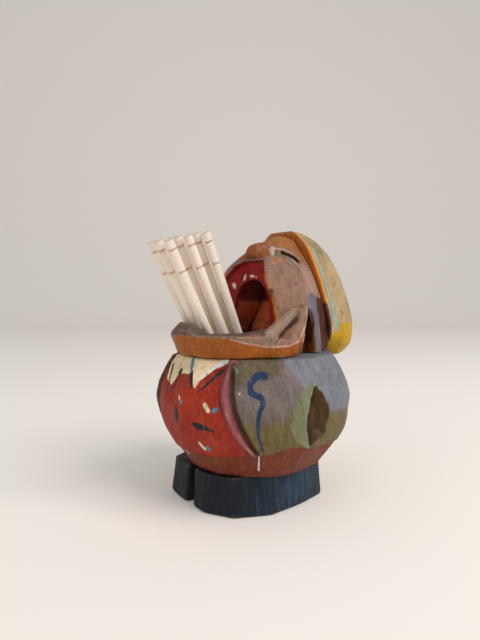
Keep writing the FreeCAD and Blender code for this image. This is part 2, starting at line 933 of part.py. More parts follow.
def main():
    """Builds the document and writes one STEP file for each piece."""
    doc = FreeCAD.newDocument("toothpick_holder")
    make_sheet(doc)
    make_boots(doc)
    make_torso(doc)
    head = make_head(doc)
    hat = make_hat(doc)
    make_hat_dowel(doc, head, hat)
    make_dowel_pair(doc, "neck_dowel", "dowel_length", size("neck_height"),
                    "neck_dowel_side", "neck_dowel_back")
    make_dowel_pair(doc, "boots_dowel", "boots_dowel_length", size("boots_height"),
                    "boots_dowel_side", "boots_dowel_back")
    make_picks(doc)
    doc.recompute()

    names = ["boots_block", "torso_block", "head_block", "hat_block", "hat_dowel"]
    names += [f"{pair}_{hand}" for pair in ("neck_dowel", "boots_dowel")
              for hand in ("left", "right")]
    names += [f"toothpick_{index + 1}" for index in range(len(PICK_ROWS) * len(PICK_COLUMNS))]
    parts = [doc.getObjectsByLabel(name)[0] for name in names]
    check(doc, parts)
    os.makedirs("parts", exist_ok=True)
    for part in parts:
        part.Shape.exportStep(f"parts/{part.Label}.step")
        box = part.Shape.BoundBox
        print(f"{part.Label}: {len(part.Shape.Solids)} solid, {part.Shape.Volume:.1f} mm3, "
              f"x {box.XMin:.1f} {box.XMax:.1f}, y {box.YMin:.1f} {box.YMax:.1f}, "
              f"z {box.ZMin:.1f} {box.ZMax:.1f}")


main()
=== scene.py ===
"""A carved and painted wooden toothpick holder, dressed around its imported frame.

Each block of the figure is carved as a field: at every point in space it says how far, in
millimetres, the point lies outside the wood. The field becomes a mesh on a fine grid. Paint
is laid in coats, and each coat knows how far a point of the mesh lies outside its patch.
"""

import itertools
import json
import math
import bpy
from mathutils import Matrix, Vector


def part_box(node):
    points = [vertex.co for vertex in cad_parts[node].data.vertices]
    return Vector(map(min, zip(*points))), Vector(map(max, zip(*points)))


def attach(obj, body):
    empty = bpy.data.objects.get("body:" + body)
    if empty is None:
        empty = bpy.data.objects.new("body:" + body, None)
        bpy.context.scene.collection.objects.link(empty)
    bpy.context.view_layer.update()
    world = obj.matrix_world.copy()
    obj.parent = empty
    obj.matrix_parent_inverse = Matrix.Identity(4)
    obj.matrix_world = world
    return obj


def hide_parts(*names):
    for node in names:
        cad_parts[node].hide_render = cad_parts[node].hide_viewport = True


bl_info = {
    "name": "Carved toothpick holder",
    "version": (1, 0, 0),
    "blender": (4, 5, 0),
    "location": "3D View > Sidebar > Holder",
    "description": "Carves and paints a wooden toothpick holder around its packed frame",
    "category": "Object",
}

import bmesh
import bpy
import numpy as np
import openvdb
from mathutils import Vector

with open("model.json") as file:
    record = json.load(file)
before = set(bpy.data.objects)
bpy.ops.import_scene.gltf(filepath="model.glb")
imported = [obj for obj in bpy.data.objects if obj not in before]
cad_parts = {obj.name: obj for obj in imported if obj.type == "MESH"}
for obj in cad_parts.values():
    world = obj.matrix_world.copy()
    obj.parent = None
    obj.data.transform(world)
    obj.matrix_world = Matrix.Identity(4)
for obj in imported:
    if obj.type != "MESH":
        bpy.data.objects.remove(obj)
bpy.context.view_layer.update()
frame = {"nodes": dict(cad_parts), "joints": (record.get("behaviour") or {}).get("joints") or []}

MM = 0.001

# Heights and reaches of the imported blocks, in millimetres
BOOTS_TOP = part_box("boots_block")[1].z / MM
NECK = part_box("torso_block")[1].z / MM
BELLY_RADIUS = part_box("torso_block")[1].x / MM
JAW_HALF_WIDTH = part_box("head_block")[1].x / MM

# The toothpick bore: two round holes, one in line above the other
BORE_RADIUS = 13.6
BORE_FORWARD = 3.2
BORE_FOOT = 14.0
WELL_RADIUS = 10.6
WELL_BACK = 0.6
WELL_FLOOR = 6.4

# Plane between the head and the hat: how far back it stands at the neck, and its lean
BRIM_FOOT = 16.0
BRIM_LEAN = math.tan(math.radians(9))

# Millimetres round the belly for one degree
DEGREE = math.radians(BELLY_RADIUS)
HALF_ROOT = math.sqrt(0.5)

# A distance that takes a place out of a patch or a cut, in millimetres
FAR_OFF = 9

# Carving: grid steps left free round a block, and how its points are drawn onto the field
MARGIN = 2
PULLS = 3
FLATTEST_SQUARE = 0.2
SHORTEST_SLOPE = 1e-6
SLOPE_REACH = 0.04
HOLLOW_ROUNDS = 3

# Knife marks: how fast one fades from its middle, and the numbers that scatter them
MARK_FADE = 1.6
HASH_STEPS = (127.1, 311.7, 74.7)
HASH_TURNS = (0, 19.19, 47.7)
HASH_SCALE = 43758.5453

# Noises of the paint: length across over length along the grain, waves a metre, detail, roughness
GRAIN = (0.05, 3000, 5, 0.68)
CLOUD = (0.6, 210, 3, 0.6)
BRUSH = (0.22, 900, 3, 0.6)
SPECKS = (0.7, 2300, 3, 0.65)
CHIPS = (0.5, 1500, 4, 0.7)
FINE = (1, 5200, 2)
WOBBLE = (1, 900, 3)
STREAKS = (0.16, 620, 4, 0.65)
DARK_STREAKS = (0.25, 380, 3, 0.6)
HAT_CLOUD = (0.3, 160, 2)

# How far the paint rises and falls with its grain, and the birch with its fibres
PAINT_BUMP = 0.16 * MM
BIRCH_BUMP = 0.05 * MM


def srgb(red, green, blue):
    """A colour as it is seen, from 0 to 255, as the linear colour that Blender mixes.

    The numbers are those of the sRGB curve.
    """
    linear = []
    for level in (red, green, blue):
        share = level / 255
        linear.append(share / 12.92 if share <= 0.04045 else ((share + 0.055) / 1.055) ** 2.4)
    return tuple(linear)


def paint(name, description, red, green, blue):
    """A colour that the user can change."""
    return bpy.props.FloatVectorProperty(
        name=name, description=description, default=srgb(red, green, blue),
        subtype="COLOR", size=3, min=0, max=1)


def length(name, description, millimetres):
    """A length that the user can change."""
    return bpy.props.FloatProperty(
        name=name, description=description, default=millimetres * MM, unit="LENGTH", min=0)


class HolderCarving(bpy.types.PropertyGroup):
    step: length("Carving step", "Distance between the points of the carved meshes", 0.32)
    quick_step: length("Quick step", "The same distance while trying things", 0.6)
    knife_depth: length("Knife depth", "How deep the last light knife strokes go", 0.16)
    knife_width: length("Knife width", "How far apart those strokes lie", 4.2)
    knife_length: length("Knife length", "How long those strokes are, along the grain", 8.0)


class HolderBodyPaint(bpy.types.PropertyGroup):
    navy: paint("Navy", "Boots", 8, 18, 28)
    slate: paint("Slate", "Shaded side of the boots", 22, 29, 32)
    # Blue brush strokes, laid strongest on the lit side of the boots as painted highlight
    blue: paint("Blue", "Brush strokes on the boots", 56, 92, 126)
    blue_grey: paint("Blue grey", "Lit side of the boots", 62, 82, 100)
    hem: paint("Hem", "Brown band over the boots", 120, 54, 28)
    waistcoat: paint("Waistcoat", "Front of the body", 150, 34, 8)
    glow: paint("Orange red", "Middle of the front", 178, 52, 16)
    shirt: paint("Shirt", "Triangle under the chin", 232, 208, 166)
    # Pink of the lapel: its red paint, painted lighter as a highlight on the lit side
    lapel: paint("Lapel", "Raised edge of the jacket", 146, 70, 78)
    # The cut beside the lapel is painted dark: painted shade in the cut
    fold: paint("Fold", "Cut beside the lapel", 92, 44, 32)
    jacket: paint("Jacket", "Upper part of the jacket", 116, 102, 96)
    # Bluish grey of the shoulders: the jacket's paint with a painted sheen
    jacket_cool: paint("Cool jacket", "Shoulder of the jacket", 122, 124, 130)
    jacket_brown: paint("Brown jacket", "Breast of the jacket", 98, 86, 62)
    olive: paint("Olive", "Lower part of the jacket", 110, 94, 54)
    squiggle: paint("Ribbon", "Winding brush stroke", 34, 52, 84)
    flap: paint("Pocket flap", "Near half of the pocket", 120, 120, 88)
    # Deep half of the pocket, painted dark as painted shade in the recess
    pocket: paint("Pocket", "Deep half of the pocket", 82, 52, 22)
    # Painted highlight along the raised edge of the pocket flap
    turquoise: paint("Turquoise", "Edge of the pocket flap", 132, 190, 168)
    cream: paint("Cream", "Small light dabs", 228, 206, 166)
    dab_blue: paint("Dab blue", "Small blue dabs", 78, 134, 158)
    black: paint("Black", "Thin dark strokes", 34, 30, 32)
    white: paint("White", "Collar and drip lines", 222, 220, 214)
    green: paint("Pale green", "Small mark at the lapel's top", 128, 140, 112)


class HolderHeadPaint(bpy.types.PropertyGroup):
    flesh: paint("Flesh", "Cheeks", 146, 107, 86)
    jaw: paint("Jaw", "Stained side of the jaw", 160, 86, 18)
    rim: paint("Rim", "Top edge of the jaw", 96, 74, 66)
    bowl: paint("Bowl", "Inside of the jaw", 104, 40, 30)
    gums: paint("Gums", "Arch round the throat", 158, 12, 14)
    throat: paint("Throat", "Deep inside the mouth", 112, 32, 34)
    # Painted light: the lower back wall of the throat, painted bright where light falls in
    tongue: paint("Throat floor", "Lower part of the throat", 240, 124, 76)
    teeth: paint("Teeth", "Dabs along the gums", 226, 212, 184)
    bare: paint("Bare edge", "Worn edge of the mouth", 190, 112, 36)
    nose: paint("Nose", "Nose and upper lip", 146, 80, 38)
    forehead: paint("Forehead", "Stained forehead", 160, 98, 46)
    lid: paint("Lid", "Lower eyelid", 112, 106, 100)
    lid_field: paint("Eye socket", "Upper eyelid", 112, 102, 78)
    lash: paint("Lash", "Closed line of the eye", 48, 42, 48)
    pale: paint("Pale", "Light marks at the eye", 214, 178, 166)
    # Painted lighter along the ridge at the mouth's corner, as a painted highlight
    crease: paint("Crease", "Ridge at the corner of the mouth", 146, 124, 104)
    ear: paint("Ear", "Strip in front of the hat", 112, 104, 112)
    gouge: paint("Gouge", "Deep cuts beside the ear", 74, 34, 12)
    band: paint("Band", "Worn band behind the cheek", 186, 150, 138)
    brim: paint("Brim", "Front of the hat's brim", 168, 92, 22)
    amber: paint("Amber", "Edge of the brim", 232, 148, 26)
    crown: paint("Crown", "Hat", 184, 156, 114)
    crown_shade: paint("Crown shade", "Olive places on the hat", 142, 122, 80)
    stripe: paint("Stripe", "Line along the hat", 122, 176, 182)
    yellow: paint("Yellow", "Foot of the hat", 196, 152, 24)


class HolderWood(bpy.types.PropertyGroup):
    bare_wood: paint("Bare wood", "Wood where the paint has worn off", 182, 152, 116)
    # Dark specks of dirt, and painted shade in the hollows of the carving
    grime_and_shade: paint("Grime", "Dirt in the hollows", 40, 28, 20)
    dust: paint("Dust", "Pale film along the grain", 196, 184, 166)
    birch: paint("Birch", "Toothpicks", 248, 234, 216)
    birch_dark: paint("Dark birch", "Grain and turned rings of the toothpicks", 190, 150, 108)
    dowel: paint("Dowel", "Pegs between the blocks", 190, 146, 98)
    roughness: bpy.props.FloatProperty(
        name="Roughness", description="Roughness of the painted wood", default=0.5,
        min=0, max=1, subtype="FACTOR")
    sheen: bpy.props.FloatProperty(
        name="Sheen", description="How strongly the painted wood shines", default=0.24,
        min=0, max=1, subtype="FACTOR")


class HolderStage(bpy.types.PropertyGroup):
    floor: paint("Floor", "Floor and backdrop", 248, 240, 231)
    key_power: bpy.props.FloatProperty(
        name="Key power", description="Power of the soft lamp at the upper right",
        default=2.9, min=0, unit="POWER")
    fill_power: bpy.props.FloatProperty(
        name="Fill power", description="Power of the broad lamp at the left",
        default=0.9, min=0, unit="POWER")
    sky: bpy.props.FloatProperty(
        name="Sky", description="Strength of the even light all round", default=0.47, min=0)
    paleness: bpy.props.FloatProperty(
        name="Paleness", description="How much paler the camera sees the floor", default=0.1, min=0)
    distance: length("Distance", "Camera's distance from the figure's axis", 130)
    height: length("Height", "Camera's height over the floor", 50.7)
    aside: length("Aside", "How far the camera stands to the left of the axis", 3.4)
    azimuth: bpy.props.FloatProperty(
        name="Azimuth", description="Where the camera stands round the figure",
        default=math.radians(45), subtype="ANGLE")
    pitch: bpy.props.FloatProperty(
        name="Pitch", description="How far the camera looks down",
        default=math.radians(2.5), subtype="ANGLE")


def soft_max(first, second, width):
    """The larger of two fields, rounded over a width where they meet."""
    share = np.clip(0.5 + 0.5 * (first - second) / width, 0, 1)
    return second + (first - second) * share + width * share * (1 - share)


def soft_min(first, second, width):
    """The smaller of two fields, rounded over a width where they meet."""
    return -soft_max(-first, -second, width)


def cut(block, tool, width):
    """The block where the tool hasn't been."""
    return soft_max(block, -tool, width)


def both_sides(corners):
    """The same corners on the left and on the right."""
    return [(side * x, y, z) for x, y, z in corners for side in (1, -1)]


def levels(*rows):
    """Corners from rows that each give a height and then pairs of x and y."""
    return [(x, y, row[0]) for row in rows for x, y in row[1:]]


def convex(corners, rounding):
    """The field of the smallest block that holds all the corners, with worn edges."""
    shape = bmesh.new()
    for corner in corners:
        shape.verts.new(corner)
    bmesh.ops.convex_hull(shape, input=shape.verts)
    shape.normal_update()
    planes = {}
    for face in shape.faces:
        normal = face.normal
        key = tuple(round(part, 2) for part in (*normal, face.calc_center_median().dot(normal)))
        planes[key] = (*normal, face.calc_center_median().dot(normal))
    shape.free()

    def field(p):
        value = None
        for x, y, z, reach in planes.values():
            outside = x * p[0] + y * p[1] + z * p[2] - reach
            value = outside if value is None else soft_max(value, outside, rounding)
        return value

    return field


def bar(p, start, end, radius, end_radius):
    """A round bar between two points."""
    run = [b - a for a, b in zip(start, end)]
    square = sum(part * part for part in run)
    along = sum((p[axis] - start[axis]) * run[axis] for axis in range(3)) / square
    along = np.clip(along, 0, 1)
    away = sum((p[axis] - start[axis] - along * run[axis]) ** 2 for axis in range(3))
    return np.sqrt(away) - radius - (end_radius - radius) * along


def side_view(p):
    """Where a point lies as either side is seen from three quarters: across, and up."""
    return (np.abs(p[0]) + p[1]) * HALF_ROOT, p[2]


def round_view(p):
    """Where a point lies round the body: millimetres from the front towards +X, and up."""
    return np.degrees(np.arctan2(p[0], -p[1])) * DEGREE, p[2]


def round_about(*places):
    """Places given as degrees from the front and millimetres up, for round_view."""
    return [(degrees * DEGREE, up) for degrees, up in places]


def stroke(view, points, start, end=None):
    """How far a place lies outside a brush stroke that runs from one half width to another."""
    end = start if end is None else end
    across, up = view
    runs = [math.dist(a, b) for a, b in zip(points, points[1:])]
    nearest = None
    done = 0
    for a, b, run in zip(points, points[1:], runs):
        step = ((b[0] - a[0]) / run, (b[1] - a[1]) / run)
        along = np.clip((across - a[0]) * step[0] + (up - a[1]) * step[1], 0, run)
        away = np.hypot(across - a[0] - along * step[0], up - a[1] - along * step[1])
        away -= start + (end - start) * (done + along) / sum(runs)
        nearest = away if nearest is None else np.minimum(nearest, away)
        done += run
    return nearest


def strokes(view, *rows):
    """How far a place lies outside the nearest of several strokes."""
    return np.minimum.reduce([stroke(view, *row) for row in rows])


def patch(view, corners):
    """How far a place lies outside a closed patch. Inside, the distance is negative."""
    across, up = view
    inside = np.zeros(across.shape, bool)
    for a, b in zip(corners, corners[1:] + corners[:1]):
        if a[1] != b[1]:
            crossing = (b[0] - a[0]) * (up - a[1]) / (b[1] - a[1]) + a[0]
            inside ^= ((a[1] > up) != (b[1] > up)) & (across < crossing)
    edge = stroke(view, corners + [corners[0]], 0)
    return np.where(inside, -edge, edge)


def swell(distance, width):
    """A round rise over a stroke: one in its middle and nothing at its edge."""
    return np.clip(-distance / width, 0, 1) ** 0.7


def with_relief(value, relief, p, reach=4):
    """Adds a relief to a field within reach of its surface."""
    near = np.abs(value) < reach
    value[near] += relief([np.broadcast_to(axis, value.shape)[near] for axis in p])
    return value


def bore_field(p):
    """How far a point lies outside the round bore that the toothpicks stand in."""
    return np.hypot(p[0], p[1] + BORE_FORWARD) - BORE_RADIUS


def well_field(p):
    """How far a point lies outside the narrower well under the bore."""
    return np.hypot(p[0], p[1] - WELL_BACK) - WELL_RADIUS


def behind_brim(p):
    """How far a point lies behind the plane between the head and the hat, along Y."""
    return p[1] - BRIM_FOOT + (p[2] - NECK) * BRIM_LEAN


def hashed(cell, salt):
    """Three numbers from 0 to 1 for each whole-numbered cell, always the same ones."""
    mixed = sum(part * step for part, step in zip(cell, HASH_STEPS)) + salt
    return [np.modf(np.abs(np.sin(mixed + turn)) * HASH_SCALE)[0] for turn in HASH_TURNS]


def knife_marks(points, spacing, salt):
    """How deep the last knife strokes go: one in the middle of a stroke, nothing between them."""
    place = points.T / np.array(spacing)[:, None]
    cell = np.floor(place)
    nearest = np.full(len(points), np.inf)
    for offset in itertools.product((-1, 0, 1), repeat=3):
        neighbour = cell + np.array(offset)[:, None]
        away = sum((place[axis] - neighbour[axis] - jitter) ** 2
                   for axis, jitter in enumerate(hashed(neighbour, salt)))
        nearest = np.minimum(nearest, away)
    return np.clip(1 - MARK_FADE * nearest, 0, 1)


def slope(points, field):
    """The field at each point and how it rises along the three axes."""
    here = field(points.T)
    rise = np.empty_like(points)
    for axis in range(3):
        shifted = points.T.copy()
        shifted[axis] += SLOPE_REACH
        rise[:, axis] = (field(shifted) - here) / SLOPE_REACH
    return here, rise


def hollows(mesh, points, normals, step):
    """How hollow the surface is at each point: above nothing in cuts, below it on edges."""
    pairs = np.empty(len(mesh.edges) * 2, np.int32)
    mesh.edges.foreach_get("vertices", pairs)
    first, second = pairs.reshape(-1, 2).T
    count = np.bincount(pairs, minlength=len(points)).astype(float)

    def neighbours_mean(values):
        total = np.bincount(first, values[second], len(points))
        total += np.bincount(second, values[first], len(points))
        return total / np.maximum(count, 1)

    lift = sum((neighbours_mean(points[:, axis]) - points[:, axis]) * normals[:, axis]
               for axis in range(3))
    for _ in range(HOLLOW_ROUNDS):
        lift = neighbours_mean(lift)
    return lift / step


def carve(name, field, low, high, salt, marked=None):
    """A mesh piece of the block that a field describes, and its points in millimetres.

    low and high are the corners of the block's box. marked says where the last knife marks go,
    and salt scatters them.
    """
    settings = bpy.context.scene.holder_carving
    step = settings.step / MM
    axes = [np.arange(start - MARGIN * step, end + (MARGIN + 1) * step, step)
            for start, end in zip(low, high)]
    values = field(np.meshgrid(*axes, indexing="ij")).astype(np.float32)
    volume = openvdb.FloatGrid(background=float(values.max()))
    volume.copyFromArray(values)
    cells, quads = volume.convertToQuads(0.0)
    points = cells.astype(float) * step + np.array([axis[0] for axis in axes])
    for _ in range(PULLS):
        here, rise = slope(points, field)
        square = np.maximum((rise ** 2).sum(1), FLATTEST_SQUARE)
        move = np.clip(here / square, -step, step)
        points -= move[:, None] * rise
    rise = slope(points, field)[1]
    normals = rise / np.maximum(np.linalg.norm(rise, axis=1), SHORTEST_SLOPE)[:, None]
    spacing = (settings.knife_width / MM, settings.knife_width / MM, settings.knife_length / MM)
    depth = knife_marks(points, spacing, salt) * settings.knife_depth / MM
    if marked is not None:
        depth *= marked(points.T)
    points -= depth[:, None] * normals

    mesh = bpy.data.meshes.new(name)
    mesh.from_pydata((points * MM).tolist(), [], quads[:, ::-1].tolist())
    mesh.update()
    mesh.shade_smooth()
    piece = bpy.data.objects.new(name, mesh)
    bpy.context.scene.collection.objects.link(piece)
    store(piece, "hollow", hollows(mesh, points, normals, step))
    return piece, points.T


def store(piece, name, values):
    """Keeps one number for each point of the mesh, for the paint to read."""
    attribute = piece.data.attributes.new(name, "FLOAT", "POINT")
    attribute.data.foreach_set("value", np.ascontiguousarray(values, np.float32))


class Finish:
    """One material, painted coat by coat over wood that stands on end."""

    def __init__(self, name, ground):
        self.material = bpy.data.materials.new(name)
        self.material.use_nodes = True
        self.tree = self.material.node_tree
        self.tree.nodes.clear()
        self.place = self.node("ShaderNodeTexCoord").outputs["Object"]
        self.wobble = None
        self.colour = tuple(ground)

    def node(self, kind, **settings):
        """A node with its settings."""
        made = self.tree.nodes.new(kind)
        for setting, value in settings.items():
            setattr(made, setting, value)
        return made

    def join(self, socket, value):
        """Feeds a socket from another one, or sets it to a number or a colour."""
        if isinstance(value, bpy.types.NodeSocket):
            self.tree.links.new(value, socket)
        elif isinstance(value, tuple) and len(value) == 3 and socket.type == "RGBA":
            socket.default_value = (*value, 1)
        else:
            socket.default_value = value

    def math(self, operation, *values):
        """A sum worked out by one node."""
        made = self.node("ShaderNodeMath", operation=operation)
        for socket, value in zip(made.inputs, values):
            self.join(socket, value)
        return made.outputs[0]

    def noise(self, stretch, scale, detail, roughness=0.5, place=None):
        """Noise from 0 to 1 with about scale waves a metre, drawn out along Z by a small stretch."""
        mapping = self.node("ShaderNodeMapping")
        self.join(mapping.inputs["Vector"], place or self.place)
        mapping.inputs["Scale"].default_value = (1, 1, stretch)
        made = self.node("ShaderNodeTexNoise")
        self.join(made.inputs["Vector"], mapping.outputs[0])
        made.inputs["Scale"].default_value = scale
        made.inputs["Detail"].default_value = detail
        made.inputs["Roughness"].default_value = roughness
        return made.outputs["Fac"]

    def spread(self, value, low, high, top=1.0, bottom=0.0):
        """Takes a value that runs from low to high to one from bottom to top, and no further."""
        made = self.node("ShaderNodeMapRange")
        for name, number in (("Value", value), ("From Min", low), ("From Max", high),
                             ("To Min", bottom), ("To Max", top)):
            self.join(made.inputs[name], number)
        return made.outputs[0]

    def attribute(self, name):
        """A number kept with each point of the mesh, or 0 on a mesh that has none of that name."""
        made = self.node("ShaderNodeAttribute", attribute_name=name)
        return made.outputs["Fac"]

    def blend(self, share, colour, kind="MIX"):
        """Mixes a colour over what is painted so far."""
        made = self.node("ShaderNodeMix", data_type="RGBA", blend_type=kind)
        self.join(made.inputs[0], share)
        self.join(made.inputs[6], self.colour)
        self.join(made.inputs[7], colour)
        self.colour = made.outputs[2]

    def film(self, value, start, full, cover, colour, where=None):
        """Lays a colour over what is painted, from none of it at start to cover at full."""
        share = self.spread(value, start, full, cover)
        if where is not None:
            share = self.math("MULTIPLY", share, where)
        self.blend(share, tuple(colour))

    def coat(self, name, colour, soft=0.12, ragged=0.15, cover=1.0):
        """Paints the patch called name, soft and ragged by so many millimetres at its edge."""
        if self.wobble is None:
            self.wobble = self.math("MULTIPLY_ADD", self.noise(*WOBBLE), 2, -1)
        edge = self.math("MULTIPLY_ADD", self.wobble, ragged, self.attribute(name))
        self.film(edge, soft, -soft, cover, colour)

    def coats(self, colours, rows):
        """Paints one coat after another. A row is a patch, a colour's name and coat's values."""
        for name, colour, *edge in rows:
            self.coat(name, getattr(colours, colour), *edge)

    def vary(self, noise, strength):
        """A factor round 1 that swings with a noise."""
        return self.math("MULTIPLY_ADD", noise, strength, 1 - strength / 2)

    def done(self, worn=1.0):
        """Adds grain, brush marks, wear, dark specks and painted shade in the hollows, and joins the shader
        up.
        """
        wood = bpy.context.scene.holder_wood
        grain = self.noise(*GRAIN)
        cloud = self.noise(*CLOUD)
        brush = self.noise(*BRUSH)
        specks = self.noise(*SPECKS)
        chips = self.noise(*CHIPS)
        shade = self.vary(grain, 0.8)
        for noise, strength in ((cloud, 0.7), (brush, 0.5), (specks, 0.4)):
            shade = self.math("MULTIPLY", shade, self.vary(noise, strength))
        self.blend(1.0, shade, "MULTIPLY")
        self.film(self.math("MULTIPLY", brush, grain), start=0.26, full=0.42,
                  cover=0.09 * worn, colour=wood.dust)

        hollow = self.attribute("hollow")
        edges = self.math("MULTIPLY_ADD", hollow, -1.0, self.math("MULTIPLY", chips, 0.06))
        kept = self.math("SUBTRACT", 1.0, self.attribute("spared"))
        self.film(edges, start=0.075, full=0.135,
                  cover=0.5 * worn, colour=wood.bare_wood, where=kept)
        self.film(self.math("MULTIPLY", chips, cloud), start=0.37, full=0.46,
                  cover=0.3 * worn, colour=wood.bare_wood, where=kept)
        self.film(self.math("MULTIPLY", specks, brush), start=0.2, full=0.13,
                  cover=0.35, colour=wood.grime_and_shade)
        # Painted shade: the hollows of the carving are darkened
        self.film(hollow, start=0.015, full=0.1, cover=0.75, colour=wood.grime_and_shade)

        rough = self.spread(cloud, 0.3, 0.7, top=wood.roughness + 0.12, bottom=wood.roughness - 0.1)
        height = self.math("MULTIPLY_ADD", self.noise(*FINE), 0.3, grain)
        height = self.math("MULTIPLY_ADD", brush, 0.7, height)
        return self.shaded(rough, height, strength=0.6, depth=PAINT_BUMP, sheen=wood.sheen)

    def shaded(self, roughness, height, strength, depth, sheen=0.5):
        """The material, with its colour on a surface that rises and falls by a depth in metres."""
        shader = self.node("ShaderNodeBsdfPrincipled")
        self.join(shader.inputs["Base Color"], self.colour)
        self.join(shader.inputs["Roughness"], roughness)
        shader.inputs["Specular IOR Level"].default_value = sheen
        bump = self.node("ShaderNodeBump")
        bump.inputs["Strength"].default_value = strength
        bump.inputs["Distance"].default_value = depth
        self.join(bump.inputs["Height"], height)
        self.join(shader.inputs["Normal"], bump.outputs[0])
        out = self.node("ShaderNodeOutputMaterial")
        self.join(out.inputs["Surface"], shader.outputs[0])
        return self.material


def dress(piece, node, material):
    """Puts a carved piece in the place of its packed block."""
    piece.data.materials.append(material)
    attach(piece, "figure")
    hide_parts(node)


# Boots: corners of the foot and of the top, from the front round the near side
BOOTS_FOOT = [(1.8, -19.2), (9.3, -16.3), (14.4, -8.5), (15.3, 1.7), (14.6, 11.0), (8.4, 17.0),
              (-7.6, 16.7), (-15.2, 10.0), (-17.0, 0), (-17.2, -8.7), (-15.5, -15.4),
              (-10.4, -17.2), (-6.2, -17.3)]
BOOTS_TOP_SHARE = 0.935
BOOTS_EDGE = 1.2
BELOW_FLOOR = -3
CLEFT_X = -4.9
CLEFT_HALF_WIDTH = 1.7
CLEFT_DEPTH = 4.4
CLEFT_MOUTH = -17.6

# The boots' paint: the dark side's end and the lit side's start and run, in degrees
SHADE_END = -6
LIT_START = 25
LIT_RUN = 55

# Bare wood on the boots: round the well, above this height inside it, and on the sole
WELL_BORDER = 0.4
BARE_ABOVE = 3
SOLE = 0.12
MARKS_ABOVE = 0.3


def boots_field():
    """The two boots in one block, with the cleft between them and the toothpicks' well."""
    corners = [(x, y, BELOW_FLOOR) for x, y in BOOTS_FOOT]
    corners += [(x * BOOTS_TOP_SHARE, y * BOOTS_TOP_SHARE, BOOTS_TOP) for x, y in BOOTS_FOOT]
    block = convex(corners, rounding=0.45)

    def field(p):
        value = soft_max(block(p), -p[2], width=BOOTS_EDGE)
        share = np.clip((p[1] - CLEFT_MOUTH) / CLEFT_DEPTH, 0, 1)
        wedge = np.abs(p[0] - CLEFT_X) - CLEFT_HALF_WIDTH * (1 - share)
        wedge = np.maximum(wedge, p[1] - CLEFT_MOUTH - CLEFT_DEPTH)
        value = cut(value, wedge, width=0.8)
        return cut(value, np.maximum(well_field(p), WELL_FLOOR - p[2]), width=0.15)

    return field


class HOLDER_OT_boots(bpy.types.Operator):
    """Carves and paints the block of boots"""
    bl_idname = "holder.boots"
    bl_label = "Boots"

    def execute(self, context):
        colours = context.scene.holder_body_paint
        wood = context.scene.holder_wood
        piece, p = carve(
            "carved_boots", boots_field(), (-17.3, -19.1, 0), (15.3, 17, BOOTS_TOP), salt=3,
            marked=lambda p: (p[2] > MARKS_ABOVE) & (well_field(p) > WELL_BORDER))
        across, up = round_view(p)
        store(piece, "shaded", across - SHADE_END * DEGREE)
        store(piece, "lit", np.clip((across / DEGREE - LIT_START) / LIT_RUN, 0, 1))
        store(piece, "inside", np.maximum(well_field(p) - WELL_BORDER, BARE_ABOVE - up))
        store(piece, "sole", up - SOLE)
        finish = Finish("boots_paint", colours.navy)
        # Painted shade and light: slate on the side away from the lamp, blue grey on the lit side
        finish.coat("shaded", colours.slate, soft=10, ragged=4)
        lit = finish.attribute("lit")
        finish.blend(finish.math("MULTIPLY", lit, 0.34), tuple(colours.blue_grey))
        # Blue brush strokes, stronger on the lit side: brush marks with painted highlight
        finish.film(finish.noise(*STREAKS), start=0.5, full=0.7, cover=1.0, colour=colours.blue,
                    where=finish.math("MULTIPLY_ADD", lit, 0.5, 0.14))
        finish.film(finish.noise(*DARK_STREAKS), start=0.5, full=0.66, cover=0.6, colour=colours.navy)
        finish.coat("inside", wood.bare_wood)
        finish.coat("sole", wood.bare_wood, cover=0.6)
        dress(piece, "boots_block", finish.done(worn=0.3))
        return {"FINISHED"}


# Torso: radius of the turned form at each height
TORSO_PROFILE = [(9.4, 17.5), (12.7, 20.0), (17.6, 23.4), (24.4, 24.8), (30.2, 24.0), (37.0, 20.5)]
TORSO_LET_OUT = 0.25
TURN_ASIDE = 0.25

# Rows of knife-cut facets: height, number in the row, and its turn in parts of a facet
FACET_ROWS = ((12.4, 14, 0.0), (17.6, 12, 0.5), (23.8, 13, 0.2), (29.8, 12, 0.7), (34.4, 13, 0.4))
FACET_DEPTH = 0.46
FACET_DEEPER = 0.25
FACET_TURN = 0.5
FACET_LIFT = 1.6
FACET_CELL = 7.0
FACET_SALT = 2.0

# How far round the far lapel lies, in degrees, and where that begins below the neck
FAR_LAPEL_SHIFT = 8
FAR_LAPEL_TOP = 1
FAR_LAPEL_RUN = 5.5

# The body's relief: heights and depths, and how fast the pocket deepens from its edge
LAPEL_HEIGHT = 1.0
FOLD_DEPTH = 0.45
FLAP_DEPTH = 0.7
FLAP_SLOPE = 0.18
POCKET_STEP = 0.15
POCKET_SLOPE = 0.9
POCKET_DEPTH = 2.0
HEM_STEP = 0.3
HEM_HALF_WIDTH = 0.5

# Bare wood inside the bore, and the radius that no knife mark goes inside
BORE_BORDER = 0.35
MARKS_OUTSIDE = 16.5

